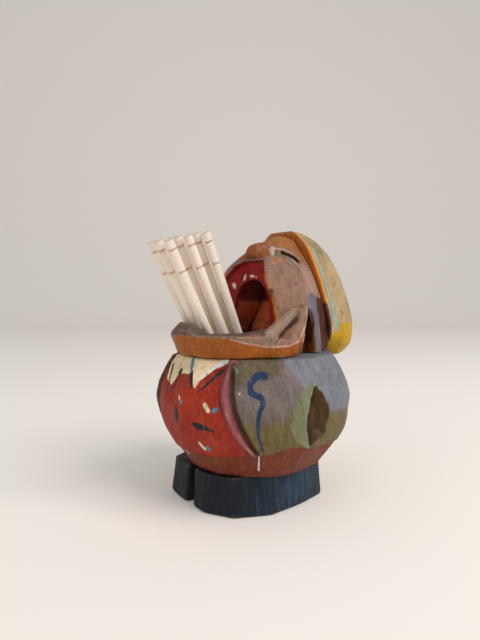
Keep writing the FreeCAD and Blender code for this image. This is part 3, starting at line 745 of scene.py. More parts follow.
LAPEL = round_about((30.6, 36.4), (28.6, 33.6), (27.7, 31), (28.4, 28.6), (31.2, 25.4),
                    (34.4, 21.6), (39.8, 18.4), (44.8, 16.1))
FOLD = round_about((31.4, 36.2), (31.5, 32.8), (32.1, 29.8), (34.2, 26.3), (37.2, 22.8),
                   (41.8, 19.1), (45.8, 16.3))
POCKET = round_about((83, 31.6), (74, 30.8), (68.6, 29.1), (64, 25.9), (63.3, 22.7), (66.9, 19.5),
                     (78, 16.6), (79.6, 17.9), (87.2, 20.2), (89.4, 23.8), (88.6, 26.3), (85.6, 29.2))
POCKET_EDGE = round_about((82, 31.2), (80, 30.2), (76.2, 28.1), (73.6, 24.5), (74.2, 21.1), (78, 16.9))
POCKET_DEEP = POCKET_EDGE + round_about((79.8, 17.9)) + POCKET[8:]
HEM = round_about((-180, 16.2), (-98, 16.4), (-60, 15.4), (-45, 14.8), (-14, 14.1), (5, 14.7), (21, 15),
                  (40, 15.6), (47, 15.9), (55, 16.6), (66, 17.8), (78, 17), (98, 16.3), (180, 16.2),
                  (180, 0), (-180, 0))
WAISTCOAT = round_about((-20, 38), (30.6, 36.6)) + LAPEL[1:] + round_about((44.8, 12), (-20, 12))
SHIRT = round_about((-31, 38), (-29, 35), (-24, 31), (-15, 30), (-11.7, 32.4), (-7.6, 33), (2.6, 33.4),
                    (9.2, 30.4), (11, 32.2), (20.4, 35.2), (28.4, 36.4), (30, 38))


def mirrored_view(view):
    """The same view with the left and the right laid on each other."""
    return np.abs(view[0]), view[1]


def lapel_view(view):
    """The mirrored view for the lapels, which spread wider on the far side."""
    below = NECK - FAR_LAPEL_TOP - view[1]
    spread = FAR_LAPEL_SHIFT * DEGREE * np.clip(below / FAR_LAPEL_RUN, 0, 1)
    return np.where(view[0] < 0, np.abs(view[0]) - spread, view[0]), view[1]


def torso_relief(p):
    """Lapels, the folds beside them, the pockets and the step at the hem, in millimetres deep."""
    view = round_view(p)
    twin = mirrored_view(view)
    front = lapel_view(view)
    depth = -LAPEL_HEIGHT * swell(stroke(front, LAPEL, 1.2, 0.7), 1.0)
    depth += FOLD_DEPTH * np.clip(-stroke(front, FOLD, 0.9, 0.7) / 0.8, 0, 1)
    depth += np.clip(-patch(twin, POCKET) * FLAP_SLOPE, 0, FLAP_DEPTH)
    deep = -patch(twin, POCKET_DEEP)
    depth += np.where(deep > 0, np.clip(POCKET_STEP + deep * POCKET_SLOPE, 0, POCKET_DEPTH), 0)
    depth += HEM_STEP * np.clip(0.5 - patch(view, HEM) / HEM_HALF_WIDTH, 0, 1)
    return depth


def torso_facets():
    """Knife-cut planes that touch the turned form a little under its surface."""
    heights, radii = zip(*TORSO_PROFILE)
    planes = []
    for row, (height, count, shift) in enumerate(FACET_ROWS):
        radius = np.interp(height, heights, radii)
        lean = (np.interp(height + 1, heights, radii) - np.interp(height - 1, heights, radii)) / 2
        scale = 1 / math.hypot(1, lean)
        for index in range(count):
            jitter = hashed(np.array([row, index, FACET_CELL]), FACET_SALT)
            turn = (index + shift + FACET_TURN * (jitter[0] - 0.5)) * 2 * math.pi / count
            normal = (math.cos(turn) * scale, math.sin(turn) * scale, -lean * scale)
            inset = radius - FACET_DEPTH - FACET_DEEPER * jitter[1]
            middle = height + FACET_LIFT * (jitter[2] - 0.5)
            reach = inset * scale - middle * lean * scale
            reach += TURN_ASIDE * (normal[0] + normal[1])
            planes.append((*normal, reach))
    return planes


def torso_field():
    """The round body, its facets and relief, the bore and the well."""
    planes = torso_facets()

    def field(p):
        radius = np.hypot(p[0] - TURN_ASIDE, p[1] - TURN_ASIDE)
        value = None
        for (low, inner), (high, outer) in zip(TORSO_PROFILE, TORSO_PROFILE[1:]):
            rise = (outer - inner) / (high - low)
            band = (radius - inner - rise * (p[2] - low)) / math.hypot(1, rise)
            value = band if value is None else soft_max(value, band, width=2.2)
        value = value - TORSO_LET_OUT
        for x, y, z, reach in planes:
            value = soft_max(value, x * p[0] + y * p[1] + z * p[2] - reach, width=0.3)
        value = with_relief(value, torso_relief, p)
        value = soft_max(value, p[2] - NECK, width=0.7)
        value = soft_max(value, BOOTS_TOP - p[2], width=0.3)
        bore = np.maximum(bore_field(p), BORE_FOOT - p[2])
        return cut(value, np.minimum(bore, well_field(p)), width=0.2)

    return field


def torso_patches(p):
    """Every painted patch of the body, as distances in millimetres."""
    view = round_view(p)
    twin = mirrored_view(view)
    front = lapel_view(view)
    return {
        # Shoulders in bluish grey, partly the jacket's paint and partly a painted sheen
        "cool": patch(twin, round_about((62, 40), (66, 34), (74, 30.4), (86, 27), (90, 25),
                                        (110, 24.4), (180, 25), (180, 40))),
        "breast": patch(twin, round_about((30, 38), (62, 38), (61, 35.4), (56, 33.4), (43, 32.6),
                                          (32, 31))),
        "olive": patch(twin, round_about((30, 24), (44, 23.9), (59, 24), (63, 25.2), (89, 25.1),
                                         (107, 24.2), (140, 24), (180, 24.5), (180, 12), (30, 12))),
        # A pink stroke along the facet edge at the shoulder, in the lapel's colour
        "worn_edge": stroke(twin, round_about((61.5, 35.7), (66, 34), (73, 30.8)), 0.3),
        "waistcoat": patch(front, WAISTCOAT),
        "glow": stroke(view, round_about((-2, 29), (12, 27), (20, 24), (22, 18)), 3),
        "shirt": patch(view, SHIRT),
        "collar": stroke(view, round_about((10, 32.2), (13.6, 33.7), (18.6, 35.2), (27.4, 36.7)), 0.28, 0.6),
        "hem": patch(view, HEM),
        # The lapel's pink is partly painted highlight; the far lapel and the cut beside the lapel are
        # painted dark as painted shade
        "lapel": stroke(view, LAPEL, 1.25, 0.8),
        "far_lapel": np.maximum(stroke(front, LAPEL, 1.25, 0.8), view[0]),
        "fold": stroke(front, FOLD, 0.75, 0.6),
        "flap": patch(twin, POCKET),
        # The pocket's deep half is painted dark as painted shade; the flap's edge carries a painted
        # highlight
        "pocket": patch(twin, POCKET_DEEP),
        "turquoise": stroke(twin, POCKET_EDGE, 0.22),
        "ribbon": stroke(view, round_about((50.2, 33.8), (45.7, 33.7), (41.8, 32.1), (42.3, 30.3),
                                           (48, 29.3), (48.9, 28), (46.7, 26.2), (46, 23.9), (46.4, 20.9),
                                           (49.2, 17.2)), 0.85, 0.25),
        "black": strokes(
            view,
            (round_about((24.3, 34.5), (19.5, 32.9), (11.9, 29.8)), 0.55, 0.2),
            (round_about((3.5, 33.6), (5.6, 32), (7.2, 30.6)), 0.65, 0.3),
            (round_about((-10.4, 33.3), (-10.3, 33.2)), 0.85),
            (round_about((-10.2, 33), (-10.6, 31), (-14, 28.3)), 0.42, 0.2),
            (round_about((-24.9, 34.4), (-19.7, 30.6), (-18.6, 28.4)), 0.4, 0.2),
            (round_about((-5, 25.8), (-3, 24.4), (-4, 23.2)), 0.2, 1.0),
            (round_about((9.4, 22.7), (12.6, 22.3)), 0.35, 0.85),
            (round_about((12.6, 22.3), (18, 22), (23.4, 21.5)), 0.85, 0.15)),
        "cream": strokes(
            view,
            (round_about((-2.8, 28.3), (-1.4, 27.6)), 0.26),
            (round_about((17.6, 27.3), (19.6, 26.2)), 0.52),
            (round_about((11.4, 18.1), (14, 16.8)), 0.42),
            (round_about((-10.4, 14.1), (-9.8, 13.6)), 0.5),
            (round_about((36.2, 30.1), (36.3, 30.1)), 0.2)),
        "dab_blue": strokes(
            view,
            (round_about((-0.1, 27.1), (0.4, 26.8)), 0.4),
            (round_about((22.6, 26.2), (24.4, 26.6)), 0.4),
            (round_about((16.4, 17.2), (17.2, 17.1)), 0.6),
            (round_about((-1.4, 37), (1, 35.2)), 0.45, 0.75),
            (round_about((1, 35.2), (3.3, 33.6)), 0.75, 0.1)),
        "green": patch(view, round_about((31.4, 35.9), (35, 34.8), (32.9, 33.6))),
        "white": stroke(view, round_about((47.1, 16), (47.5, 11.8)), 0.16, 0.3),
    }


# The body's coats in order: patch, colour, then how soft and ragged the edge is, and the cover
TORSO_COATS = (
    ("olive", "olive", 1.6, 1.2),
    # Shoulders: jacket paint with painted sheen
    ("cool", "jacket_cool", 0.7, 0.5),
    ("breast", "jacket_brown", 0.8, 0.6),
    ("worn_edge", "lapel", 0.6, 0.5, 0.4),
    ("waistcoat", "waistcoat"),
    ("glow", "glow", 2.5, 1.5, 0.6),
    ("shirt", "shirt"),
    ("collar", "white"),
    ("hem", "hem", 0.2, 0.3),
    # Lapel pink with painted highlight; far lapel and fold painted dark as painted shade
    ("lapel", "lapel", 0.25, 0.3),
    ("far_lapel", "pocket", 0.25, 0.3),
    ("fold", "fold", 0.3, 0.25),
    ("flap", "flap"),
    # Pocket: painted shade in the deep half, painted highlight on the flap's edge
    ("pocket", "pocket"),
    ("turquoise", "turquoise", 0.15, 0.15, 0.85),
    ("ribbon", "squiggle"),
    ("black", "black", 0.1, 0.1),
    ("cream", "cream", 0.1, 0.1),
    ("dab_blue", "dab_blue", 0.1, 0.1),
    ("green", "green"),
    ("white", "white", 0.08, 0.12),
)


class HOLDER_OT_torso(bpy.types.Operator):
    """Carves and paints the round body"""
    bl_idname = "holder.torso"
    bl_label = "Torso"

    def execute(self, context):
        reach = BELLY_RADIUS
        piece, p = carve(
            "carved_torso", torso_field(), (-reach, -reach, BOOTS_TOP), (reach, reach, NECK), salt=11,
            marked=lambda p: np.hypot(p[0], p[1]) > MARKS_OUTSIDE)
        for name, distance in torso_patches(p).items():
            store(piece, name, distance)
        store(piece, "bore", bore_field(p) - BORE_BORDER)
        finish = Finish("torso_paint", context.scene.holder_body_paint.jacket)
        finish.coats(context.scene.holder_body_paint, TORSO_COATS)
        finish.coat("bore", context.scene.holder_head_paint.bowl)
        dress(piece, "torso_block", finish.done())
        return {"FINISHED"}


# Skull rows: height, face's near and far half width and front, temple's half width and place, rear's
SKULL = [
    (36.9, 10.2, 10.2, -3.1, 15.3, 4.6, 12.3, 17.5),
    (43.4, 10.2, 10.2, -3.1, 15.1, 4.6, 12.3, 17.0),
    (50.0, 9.2, 10.0, -3.1, 14.4, 4.6, 11.4, 16.0),
    (55.0, 7.1, 9.8, -3.0, 12.4, 4.7, 10.1, 15.0),
    (58.8, 5.9, 7.9, -2.0, 10.0, 5.2, 8.7, 14.2),
    (62.2, 3.6, 4.2, 0.1, 7.8, 6.0, 7.0, 13.6),
    (66.2, 2.0, 2.0, 6.1, 4.0, 8.6, 4.4, 13.0),
    (67.5, 1.0, 1.0, 8.5, 2.3, 12.6, 2.0, 13.0),
]
JAW_FOOT = [(4.4, -20.2), (11.4, -16.2), (16.2, -8.4), (16.8, 0.0), (16.2, 4.0), (11.0, 15.5)]
JAW_RIM = [(5.0, -24.6), (2.6, -25.3), (12.2, -18.6), (16.6, -9.6), (17.0, 0.0), (16.4, 4.0), (11.0, 16)]
JAW_FOOT_Z = 36.9
JAW_TOP = 45.6
SIDES = (30, 60)

# The jaw's rim: places along Y, the outer edge's height there, its rise inwards and how far that goes
RIM_STATIONS = (-26, -22, -18, -12, -8, -5, -2, 0, 3, 8)
RIM_EDGE = (42.4, 42.2, 42.1, 41.9, 41.5, 40.8, 40.7, 42.0, 43.4, 43.6)
RIM_SLOPE = (0.20, 0.10, 0.15, 0.28, 0.36, 0.42, 0.44, 0.4, 0.3, 0.3)
RIM_REACH = 7

# The chin, a low hump in the middle of the rim's front
CHIN_RISE = 2.6
CHIN_MIDDLE = -1.4
CHIN_HALF_WIDTH = 5.6
CHIN_INSET = 4
CHIN_BACK = -16
CHIN_RUN = 3
CHIN_FULLNESS = 1.8

# The hollow of the jaw: how it widens upwards, and where the rim leans in over it
BOWL_RUN = 5.2
BOWL_FORWARD = 2.8
BOWL_LEAN = 2.0
BOWL_LEAN_FOOT = 39.5
BOWL_LEAN_RUN = 3
BOWL_LEAN_FRONT = -15
BOWL_LEAN_LENGTH = 9
BOWL_UNDER_SKULL = 2.6
BOWL_OPEN = -2

# The gum dish over the face, and the throat behind it
GUMS = [(10.0, 39), (9.9, 43), (8.8, 50), (6.7, 55), (5.4, 58.8), (4.4, 60.2), (-2.6, 60.2),
        (-5.6, 58.9), (-8.2, 55.2), (-9.1, 50), (-9.3, 43), (-9.3, 39)]
GUM_FRONT = -2.7
GUM_DEPTH = 1.9
GUM_STEP = 0.3
GUM_SLOPE = 0.65
GUM_LEAN = 0.45
GUM_LEAN_FOOT = 54
THROAT_NEAR = 6.1
THROAT_FAR = 5.7
THROAT_SPREAD = 3.9
THROAT_RUN = 6
THROAT_SPRING = 48.8
THROAT_TOP = 55.4
THROAT_BACK = 9.0
MOUTH_FOOT = 41.2
MOUTH_FRONT = -5.5

# The nose and an ear: rows of a height and then corners, and the wedge cut beside the ear
NOSE = levels(
    (60.2, (2.7, 0.6), (3.0, 6.0)),
    (61.6, (2.3, -1.5), (3.4, 2.0)),
    (64.4, (1.9, -0.2), (3.0, 3.0)),
    (65.5, (1.9, 3.0), (2.4, 7.0)),
)
EAR = levels(
    (36.8, (15.9, 5.6), (15.6, 9.0), (10.6, 6.0), (10.6, 10.0)),
    (43.0, (15.8, 5.6), (15.2, 8.8), (10.6, 6.0), (10.6, 10.0)),
    (47.0, (15.0, 6.2), (14.6, 8.9), (10.5, 7.0), (10.5, 10.5)),
    (51.6, (12.9, 7.4), (12.4, 9.2), (10.0, 8.5), (9.5, 11.0)),
)
GOUGE = [(-2.6, 35), (-0.6, 39.3), (0.3, 42), (1.9, 44.9), (4.2, 49.0), (5.6, 45), (5.6, 35)]
GOUGE_WALL = 14.6
GOUGE_SPLAY = 0.3
GOUGE_FRONT = -1.5
CHEEKBONE = [(15.2, 3.8, 49.5), (16.5, 2.0, 44.6), (16.9, 0.6, 41), (16.8, -4.6, 40.6), (9.8, -5.0, 42.8),
             (10.4, -2.6, 46.8), (11, 2, 49.5), (12, 4, 38), (16.8, 0.6, 38), (16.6, -4, 38)]

# The eye and the mouth's corner, as side_view sees them, and their depths and heights
EYE_SLIT = [(7.4, 62.3), (9.2, 61.6), (10.6, 60.9), (11.6, 60.1)]
EYE_LID = [(5.2, 63.5), (7.9, 63.2), (10.4, 61.8), (11.9, 60.1)]
LOWER_LID = [(8.4, 60.5), (9.7, 59.2), (11.3, 58.3)]
SMILE = [(3.1, 41.5), (8.8, 46.8)]
SMILE_BAR = ((14.8, -10.3, 42.3), (13.6, -0.6, 47.2), 1.55, 1.3)
SMILE_CREASE = [(4.6, 40.6), (7.6, 43.4), (10.2, 45.6)]
SLIT_DEPTH = 0.8
LID_HEIGHT = 0.6
LOWER_LID_HEIGHT = 0.5
CREASE_DEPTH = 0.25
FACE_BACK = 13

# Where the jaw's paint and the paint round the mouth and the ears stop
JAW_BORDER = [(-30, 43.4), (-22, 42.8), (-13.2, 42.0), (-5.5, 41.7), (-2.6, 40.8), (2.3, 39.8), (8.0, 39.7),
              (10.4, 40.6), (12.2, 44)]
JAW_SIDE = JAW_BORDER + [(12.6, 36), (-30, 36)]
RIM_PLACES = (-14, -6, -1, 5)
RIM_WIDTHS = (12, 4.6, 1.9, 1.3)
RIM_END = 6
RIM_HIGHEST = 45
BOWL_PAINT_TOP = 42.6
GUM_PAINT_FRONT = -2.95
GUM_PAINT_BACK = 3
THROAT_PAINT_FRONT = -2.2
# Front and top of the painted light on the throat's lower back wall
THROAT_LIGHT_FRONT = 0.5
THROAT_LIGHT_TOP = 49.8
GOUGE_INSIDE = 11
GOUGE_OUTSIDE = 15.7
EAR_INSIDE = 12.2
RECESS_INSIDE = 8
BROW_FOOT = 51


def throat_field(p):
    """The round-headed arch of the throat seen from the front, wider on its far side."""
    far = THROAT_FAR + THROAT_SPREAD * np.clip((THROAT_SPRING - p[2]) / THROAT_RUN, 0, 1)
    across = p[0] * THROAT_NEAR / np.where(p[0] > 0, THROAT_NEAR, far)
    up = np.maximum(p[2] - THROAT_SPRING, 0) * THROAT_NEAR / (THROAT_TOP - THROAT_SPRING)
    arch = np.hypot(across, up) - THROAT_NEAR
    return np.maximum.reduce([arch, MOUTH_FOOT - p[2], MOUTH_FRONT - p[1]])


def gum_dish(p):
    """The shallow dish over the front of the face, deeper away from its edge."""
    inside = -patch((p[0], p[2]), GUMS)
    lean = GUM_LEAN * np.maximum(p[2] - GUM_LEAN_FOOT, 0)
    dish = p[1] - GUM_FRONT - lean - np.clip(GUM_STEP + GUM_SLOPE * inside, 0, GUM_DEPTH)
    return np.maximum.reduce([-inside, dish, MOUTH_FRONT - p[1]])


def bowl_field(p):
    """The hollow of the lower jaw, which the rim leans over towards the cheeks."""
    share = np.clip((p[2] - NECK) / BOWL_RUN, 0, 2)
    lean = np.clip((p[2] - BOWL_LEAN_FOOT) / BOWL_LEAN_RUN, 0, 1)
    lean = lean * np.clip((p[1] - BOWL_LEAN_FRONT) / BOWL_LEAN_LENGTH, 0, 1)
    half_width = BORE_RADIUS - share - BOWL_LEAN * lean
    front = BORE_RADIUS + BORE_FORWARD + share * BOWL_FORWARD
    back = BORE_RADIUS - BORE_FORWARD
    reach = (front + back) / 2
    middle = (back - front) / 2
    return (np.hypot(p[0] / half_width, (p[1] - middle) / reach) - 1) * half_width


def head_relief(p):
    """Eyelids and the crease at the mouth's corner, in millimetres deep."""
    view = side_view(p)
    depth = SLIT_DEPTH * np.clip(-stroke(view, EYE_SLIT, 0.5, 0.35) / 0.4, 0, 1)
    depth -= LID_HEIGHT * swell(stroke(view, EYE_LID, 0.8, 0.5), 0.7)
    depth -= LOWER_LID_HEIGHT * swell(stroke(view, LOWER_LID, 0.9, 0.5), 0.8)
    depth += CREASE_DEPTH * swell(stroke(view, SMILE_CREASE, 0.5), 0.5)
    return np.where(p[1] < FACE_BACK, depth, 0)


def gouge_field(p):
    """The deep wedge cut between the cheek and the ear."""
    wedge = patch((p[1], p[2]), GOUGE)
    return np.maximum(wedge, GOUGE_WALL - GOUGE_SPLAY * (p[1] - GOUGE_FRONT) - np.abs(p[0]))


def rim_height(p, inward):
    """The height of the jaw's rim, so many millimetres in from its outer edge."""
    top = np.interp(p[1], RIM_STATIONS, RIM_EDGE) + np.interp(p[1], RIM_STATIONS, RIM_SLOPE) * inward
    chin = np.clip(1 - np.abs(p[0] - CHIN_MIDDLE) / CHIN_HALF_WIDTH, 0, 1)
    chin = chin * np.clip(inward / CHIN_INSET, 0, 1) * np.clip((CHIN_BACK - p[1]) / CHIN_RUN, 0, 1)
    return top + CHIN_RISE * np.clip(chin * CHIN_FULLNESS, 0, 1)


def head_field():
    """Jaw, skull, nose and ears, with the mouth and the gouges cut out of them."""
    corners = []
    for z, near, far, front, temple, temple_y, rear, rear_y in SKULL:
        corners += [(near, front, z), (-far, front, z)]
        corners += both_sides([(temple, temple_y, z), (rear, rear_y, z)])
    skull = convex(corners, rounding=0.45)
    jaw_corners = [(x, y, JAW_FOOT_Z) for x, y in JAW_FOOT] + [(x, y, JAW_TOP) for x, y in JAW_RIM]
    jaw = convex(both_sides(jaw_corners), rounding=0.6)
    sides = convex(both_sides([(x, y, z) for x, y in JAW_RIM for z in SIDES]), rounding=0.6)
    nose = convex(both_sides(NOSE), rounding=0.7)
    ears, bones = (
        [convex([(side * x, y, z) for x, y, z in shape], rounding=0.5) for side in (1, -1)]
        for shape in (EAR, CHEEKBONE))

    def field(p):
        inward = np.clip(-sides(p), 0, RIM_REACH)
        value = soft_max(jaw(p), p[2] - rim_height(p, inward), width=0.45)
        value = soft_min(value, skull(p), width=0.9)
        for bone in bones:
            value = soft_min(value, bone(p), width=0.8)
        value = soft_min(value, bar([np.abs(p[0]), p[1], p[2]], *SMILE_BAR), width=0.5)
        bowl_top = MOUTH_FOOT + BOWL_UNDER_SKULL + np.where(p[1] < BOWL_OPEN, FAR_OFF, 0)
        value = cut(value, np.maximum(bowl_field(p), p[2] - bowl_top), width=0.5)
        value = with_relief(value, head_relief, p)
        value = cut(value, gum_dish(p), width=0.25)
        value = cut(value, np.maximum(throat_field(p), p[1] - THROAT_BACK), width=0.4)
        value = soft_min(value, nose(p), width=0.5)
        value = cut(value, gouge_field(p), width=0.4)
        for ear in ears:
            value = soft_min(value, ear(p), width=0.3)
        value = soft_max(value, behind_brim(p) / math.hypot(1, BRIM_LEAN), width=0.2)
        return soft_max(value, NECK - p[2], width=0.4)

    return field


def mouth_patches(p):
    """The painted patches in and round the mouth, as distances in millimetres."""
    view = side_view(p)
    front = (p[0], p[2])
    deep = np.where(p[1] > GUM_PAINT_BACK, FAR_OFF, 0)
    bowl = bowl_field(p)
    throat = throat_field(p)
    inside = np.where(np.minimum(gum_dish(p), throat) < 0.4, FAR_OFF, 0)
    gums = patch(front, GUMS)
    gum_side = patch(front, [(-12, 38), (-12, 54), (-7.6, 55.6), (-6.4, 53), (-6.6, 48), (-7, 38)])
    far_side = patch(front, [(-20, 30), (-20, 70), (-6, 70), (-6, 30)])
    far_edge = stroke(front, [(-7.9, 57.4), (-9.4, 54.4), (-9.9, 50), (-10.2, 43)], 0.5, 0.8)
    bare = stroke(view, [(2.8, 56.6), (3.2, 54.6), (4.5, 50.8), (5.4, 46.8), (5.6, 43.2)], 0.25, 0.45)
    jaw = patch(view, JAW_SIDE)
    rim = bowl - np.interp(view[0], RIM_PLACES, RIM_WIDTHS)
    return {
        "jaw": jaw,
        "rim": np.maximum.reduce([rim, view[0] - RIM_END, p[2] - RIM_HIGHEST, -jaw]),
        "border_line": stroke(view, JAW_BORDER[3:], 0.14, 0.22),
        "bowl": np.maximum(bowl - 0.3, p[2] - BOWL_PAINT_TOP),
        "gums": np.maximum(gums - 0.05, GUM_PAINT_FRONT - p[1]) + deep,
        "gum_shade": np.maximum(gum_side, gums) + deep,
        "throat": np.maximum(throat - 0.3, THROAT_PAINT_FRONT - p[1]),
        # Painted light on the lower back wall of the throat
        "tongue": np.maximum.reduce([throat - 0.3, THROAT_LIGHT_FRONT - p[1], p[2] - THROAT_LIGHT_TOP]),
        "teeth": strokes(
            front,
            ([(-6.2, 54.4), (-5.9, 53.5)], 0.42),
            ([(-3.2, 56.6), (-3.1, 55.7)], 0.42),
            ([(-1.1, 56.5), (0, 56.3)], 0.36),
            ([(0.7, 56.3), (1.3, 55.9)], 0.18)) + deep,
        "bare": bare + deep + np.where(p[0] < 0, FAR_OFF, 0),
        "far_edge": np.maximum(far_edge, far_side) + deep,
        # The ridge at the mouth's corner painted lighter as a painted highlight, the crease under it painted
        # dark as painted shade
        "smile": stroke(view, SMILE, 1.5, 1.1) + inside,
        "smile_crease": stroke(view, SMILE_CREASE, 0.16, 0.3) + inside,
    }


def face_patches(p):
    """The painted patches of the nose, the forehead, the eyes and the cheeks."""
    view = side_view(p)
    return {
        "nose": patch(view, [(-9, 57.6), (-5.6, 60), (-3, 60.4), (0, 60), (3.6, 60.3), (4.0, 61.8),
                             (3.9, 66.5), (-4, 66.5), (-10, 60)]),
        "nose_end": stroke(view, [(-1.7, 63.6), (-1.2, 61.4)], 0.4),
        "nose_foot": stroke(view, [(-0.9, 60.6), (1, 60.2), (3.6, 60.5)], 0.3, 0.45),
        "lip": patch(view, [(-9.4, 57), (-6.6, 58.8), (-3, 60.2), (-0.6, 60.2), (-2, 59.6), (-6, 57.4),
                            (-8.6, 54)]),
        "forehead": patch(view, [(3.4, 64.9), (6.4, 64.5), (10, 63.1), (12.2, 61.4), (13.4, 60), (17, 56.5),
                                 (18, 62), (14, 68), (6, 70), (2, 69)]),
        "band": patch(view, [(11.8, 58.6), (12.6, 56), (13.4, 51), (12.9, 48), (11.9, 43), (11.2, 40.5),
                             (12.3, 42.4), (13.7, 47.4), (17, 50), (16, 56), (13, 60)]),
        "band_low": patch(view, [(13.2, 51.4), (12.9, 48), (12.2, 45), (12.8, 44.6), (13.8, 47.2), (17, 49),
                                 (17, 51.4)]),
        "under_eye": patch(view, [(4.1, 60.4), (7.9, 61.4), (7.2, 60.2), (4.2, 58.9)]),
        "lid_field": patch(view, [(5.2, 62.8), (8.0, 62.4), (8.5, 61.3), (7.4, 60.9), (5.5, 61.2)]),
        "lid": patch(view, [(8.3, 61), (9.2, 59.5), (10.2, 58.4), (11.4, 57.9), (11.5, 59), (9.9, 60.5)]),
        "lid_line": strokes(
            view,
            (EYE_LID, 0.16, 0.12),
            ([(8.6, 61.8), (9.6, 61), (10.6, 59.9), (11.4, 58.9)], 0.12)),
        "pale": stroke(view, [(4.7, 63.4), (4.9, 62.2)], 0.62, 0.42),
        "lash": stroke(view, EYE_SLIT, 0.12, 0.3),
        "corner": stroke(view, [(11.3, 59.7), (11.7, 59.1)], 0.22),
        "crack": stroke(view, [(10.9, 39.6), (10.2, 36.4)], 0.14),
        "dot": stroke(view, [(10.4, 54.2), (10.6, 54.1)], 0.2),
        "rear_edge": stroke(view, [(13.2, 48.9), (12.6, 44.9), (12.0, 42), (11.4, 40.6)], 0.14, 0.2),
    }


def ear_patches(p):
    """The painted patches of the gouges, the ears and the joint with the hat."""
    side = (p[1], p[2])
    out = np.abs(p[0])
    behind = behind_brim(p)
    gouge = patch(side, GOUGE[:5] + [(6.2, 47.4), (6.2, 35)])
    foot = patch(side, [(-2.6, 35), (-0.4, 39), (6.2, 39.6), (6.2, 35)])
    ear = patch(side, [(5.5, 36), (5.5, 43), (6.0, 47.2), (6.6, 52), (9.6, 52), (9.4, 47), (9.3, 36)])
    recess = patch(side, [(9.0, 35), (8.9, 43), (9.2, 47.6), (10.4, 51), (20, 50), (20, 35)])
    return {
        "gouge": np.minimum(gouge_field(p) - 0.35, np.maximum(gouge, GOUGE_INSIDE - out)),
        "gouge_foot": np.maximum.reduce([foot, GOUGE_INSIDE - out, out - GOUGE_OUTSIDE]),
        "ear": np.maximum(ear, EAR_INSIDE - out),
        "recess": np.maximum(recess, RECESS_INSIDE - out),
        "brow_line": np.maximum(np.abs(-behind - 0.75) - 0.16, BROW_FOOT - p[2]),
        "seam": -behind - 0.35,
    }


# The head's coats in order: patch, colour, then how soft and ragged the edge is, and the cover
HEAD_COATS = (
    ("band", "band", 0.4, 0.4, 0.55),
    ("band_low", "ear", 0.4, 0.4, 0.9),
    ("nose", "nose", 0.3, 0.4),
    ("nose_end", "gouge", 0.9, 0.4, 0.65),
    ("lip", "rim", 0.2, 0.3, 0.8),
    ("nose_foot", "lid", 0.25, 0.3, 0.8),
    ("forehead", "forehead", 0.2, 0.3),
    ("under_eye", "bare", 0.5, 0.5, 0.55),
    ("rim", "rim", 0.35, 0.3),
    ("jaw", "jaw", 0.15, 0.2),
    ("border_line", "pale", 0.12, 0.2, 0.7),
    ("recess", "gouge", 0.3),
    ("ear", "ear"),
    ("gouge", "gouge"),
    ("bowl", "bowl"),
    ("gums", "gums", 0.08, 0.1),
    ("gum_shade", "throat", 1.2, 0.4, 0.75),
    ("throat", "throat", 0.5, 0.3),
    # Painted light low in the throat
    ("tongue", "tongue", 0.6, 0.4),
    ("teeth", "teeth", 0.1, 0.2),
    ("far_edge", "bare", 0.2, 0.3, 0.8),
    ("bare", "bare", 0.1),
    # Mouth's corner: painted highlight on the ridge, painted shade in the crease
    ("smile", "crease", 0.45, 0.4, 0.8),
    ("smile_crease", "gouge", 0.15, 0.15, 0.8),
    ("lid_field", "lid_field", 0.2, 0.3),
    ("lid", "lid", 0.2, 0.25),
    ("lid_line", "pale", 0.12, 0.2, 0.8),
    ("pale", "pale", 0.25, 0.3),
    ("lash", "lash"),
    ("corner", "bare", 0.12),
    ("crack", "gouge", 0.08),
    ("dot", "lash", 0.08),
    ("gouge_foot", "jaw", 0.8, 0.5, 0.7),
    ("rear_edge", "pale", 0.12, 0.25, 0.6),
    ("seam", "gouge", 0.15),
    ("brow_line", "pale", 0.12, 0.25, 0.55),
)


class HOLDER_OT_head(bpy.types.Operator):
    """Carves and paints the thrown-back head with its open mouth"""
    bl_idname = "holder.head"
    bl_label = "Head"

    def execute(self, context):
        piece, p = carve(
            "carved_head", head_field(), (-JAW_HALF_WIDTH, -25.6, NECK), (JAW_HALF_WIDTH, 16.3, 67.8),
            salt=23, marked=lambda p: (bowl_field(p) > 0.3) * 0.8)
        hollow = np.minimum.reduce([gum_dish(p), throat_field(p), bowl_field(p)])
        store(piece, "spared", np.clip(1 - (hollow - 0.3) / 0.4, 0, 1))
        for name, distance in (mouth_patches(p) | face_patches(p) | ear_patches(p)).items():
            store(piece, name, distance)
        finish = Finish("head_paint", context.scene.holder_head_paint.flesh)
        finish.coats(context.scene.holder_head_paint, HEAD_COATS)
        dress(piece, "head_block", finish.done())
        return {"FINISHED"}


# Hat rows: height, then half width and place along Y at the brim, the widest, and twice at the back
HAT = levels(
    (35.3, (7.0, 16.0), (12.4, 20.0), (10.4, 25.2), (4.2, 26.0)),
    (38.6, (11.4, 15.5), (14.9, 20.5), (13.5, 26.0), (5.7, 27.2)),
    (41.4, (13.6, 14.8), (15.3, 20.2), (13.7, 26.2), (5.9, 27.4)),
    (44.0, (13.8, 14.0), (15.4, 20.0), (13.8, 26.3), (6.0, 27.5)),
    (50.0, (12.7, 13.0), (14.6, 19.4), (12.9, 25.2), (5.6, 26.4)),
    (56.5, (11.0, 12.0), (13.0, 18.0), (11.5, 23.3), (5.0, 24.6)),
    (63.0, (8.9, 11.0), (10.2, 16.2), (8.8, 20.8), (4.0, 22.2)),
    (66.4, (7.0, 10.4), (7.4, 14.6), (6.5, 18.6), (3.0, 19.9)),
    (68.8, (3.7, 10.4), (4.5, 12.6), (3.6, 15.4), (1.7, 16.4)),
)
HAT_STRIPE = [(15.5, 64.8), (17.6, 59.1), (20.3, 50.8), (22.7, 42.2)]
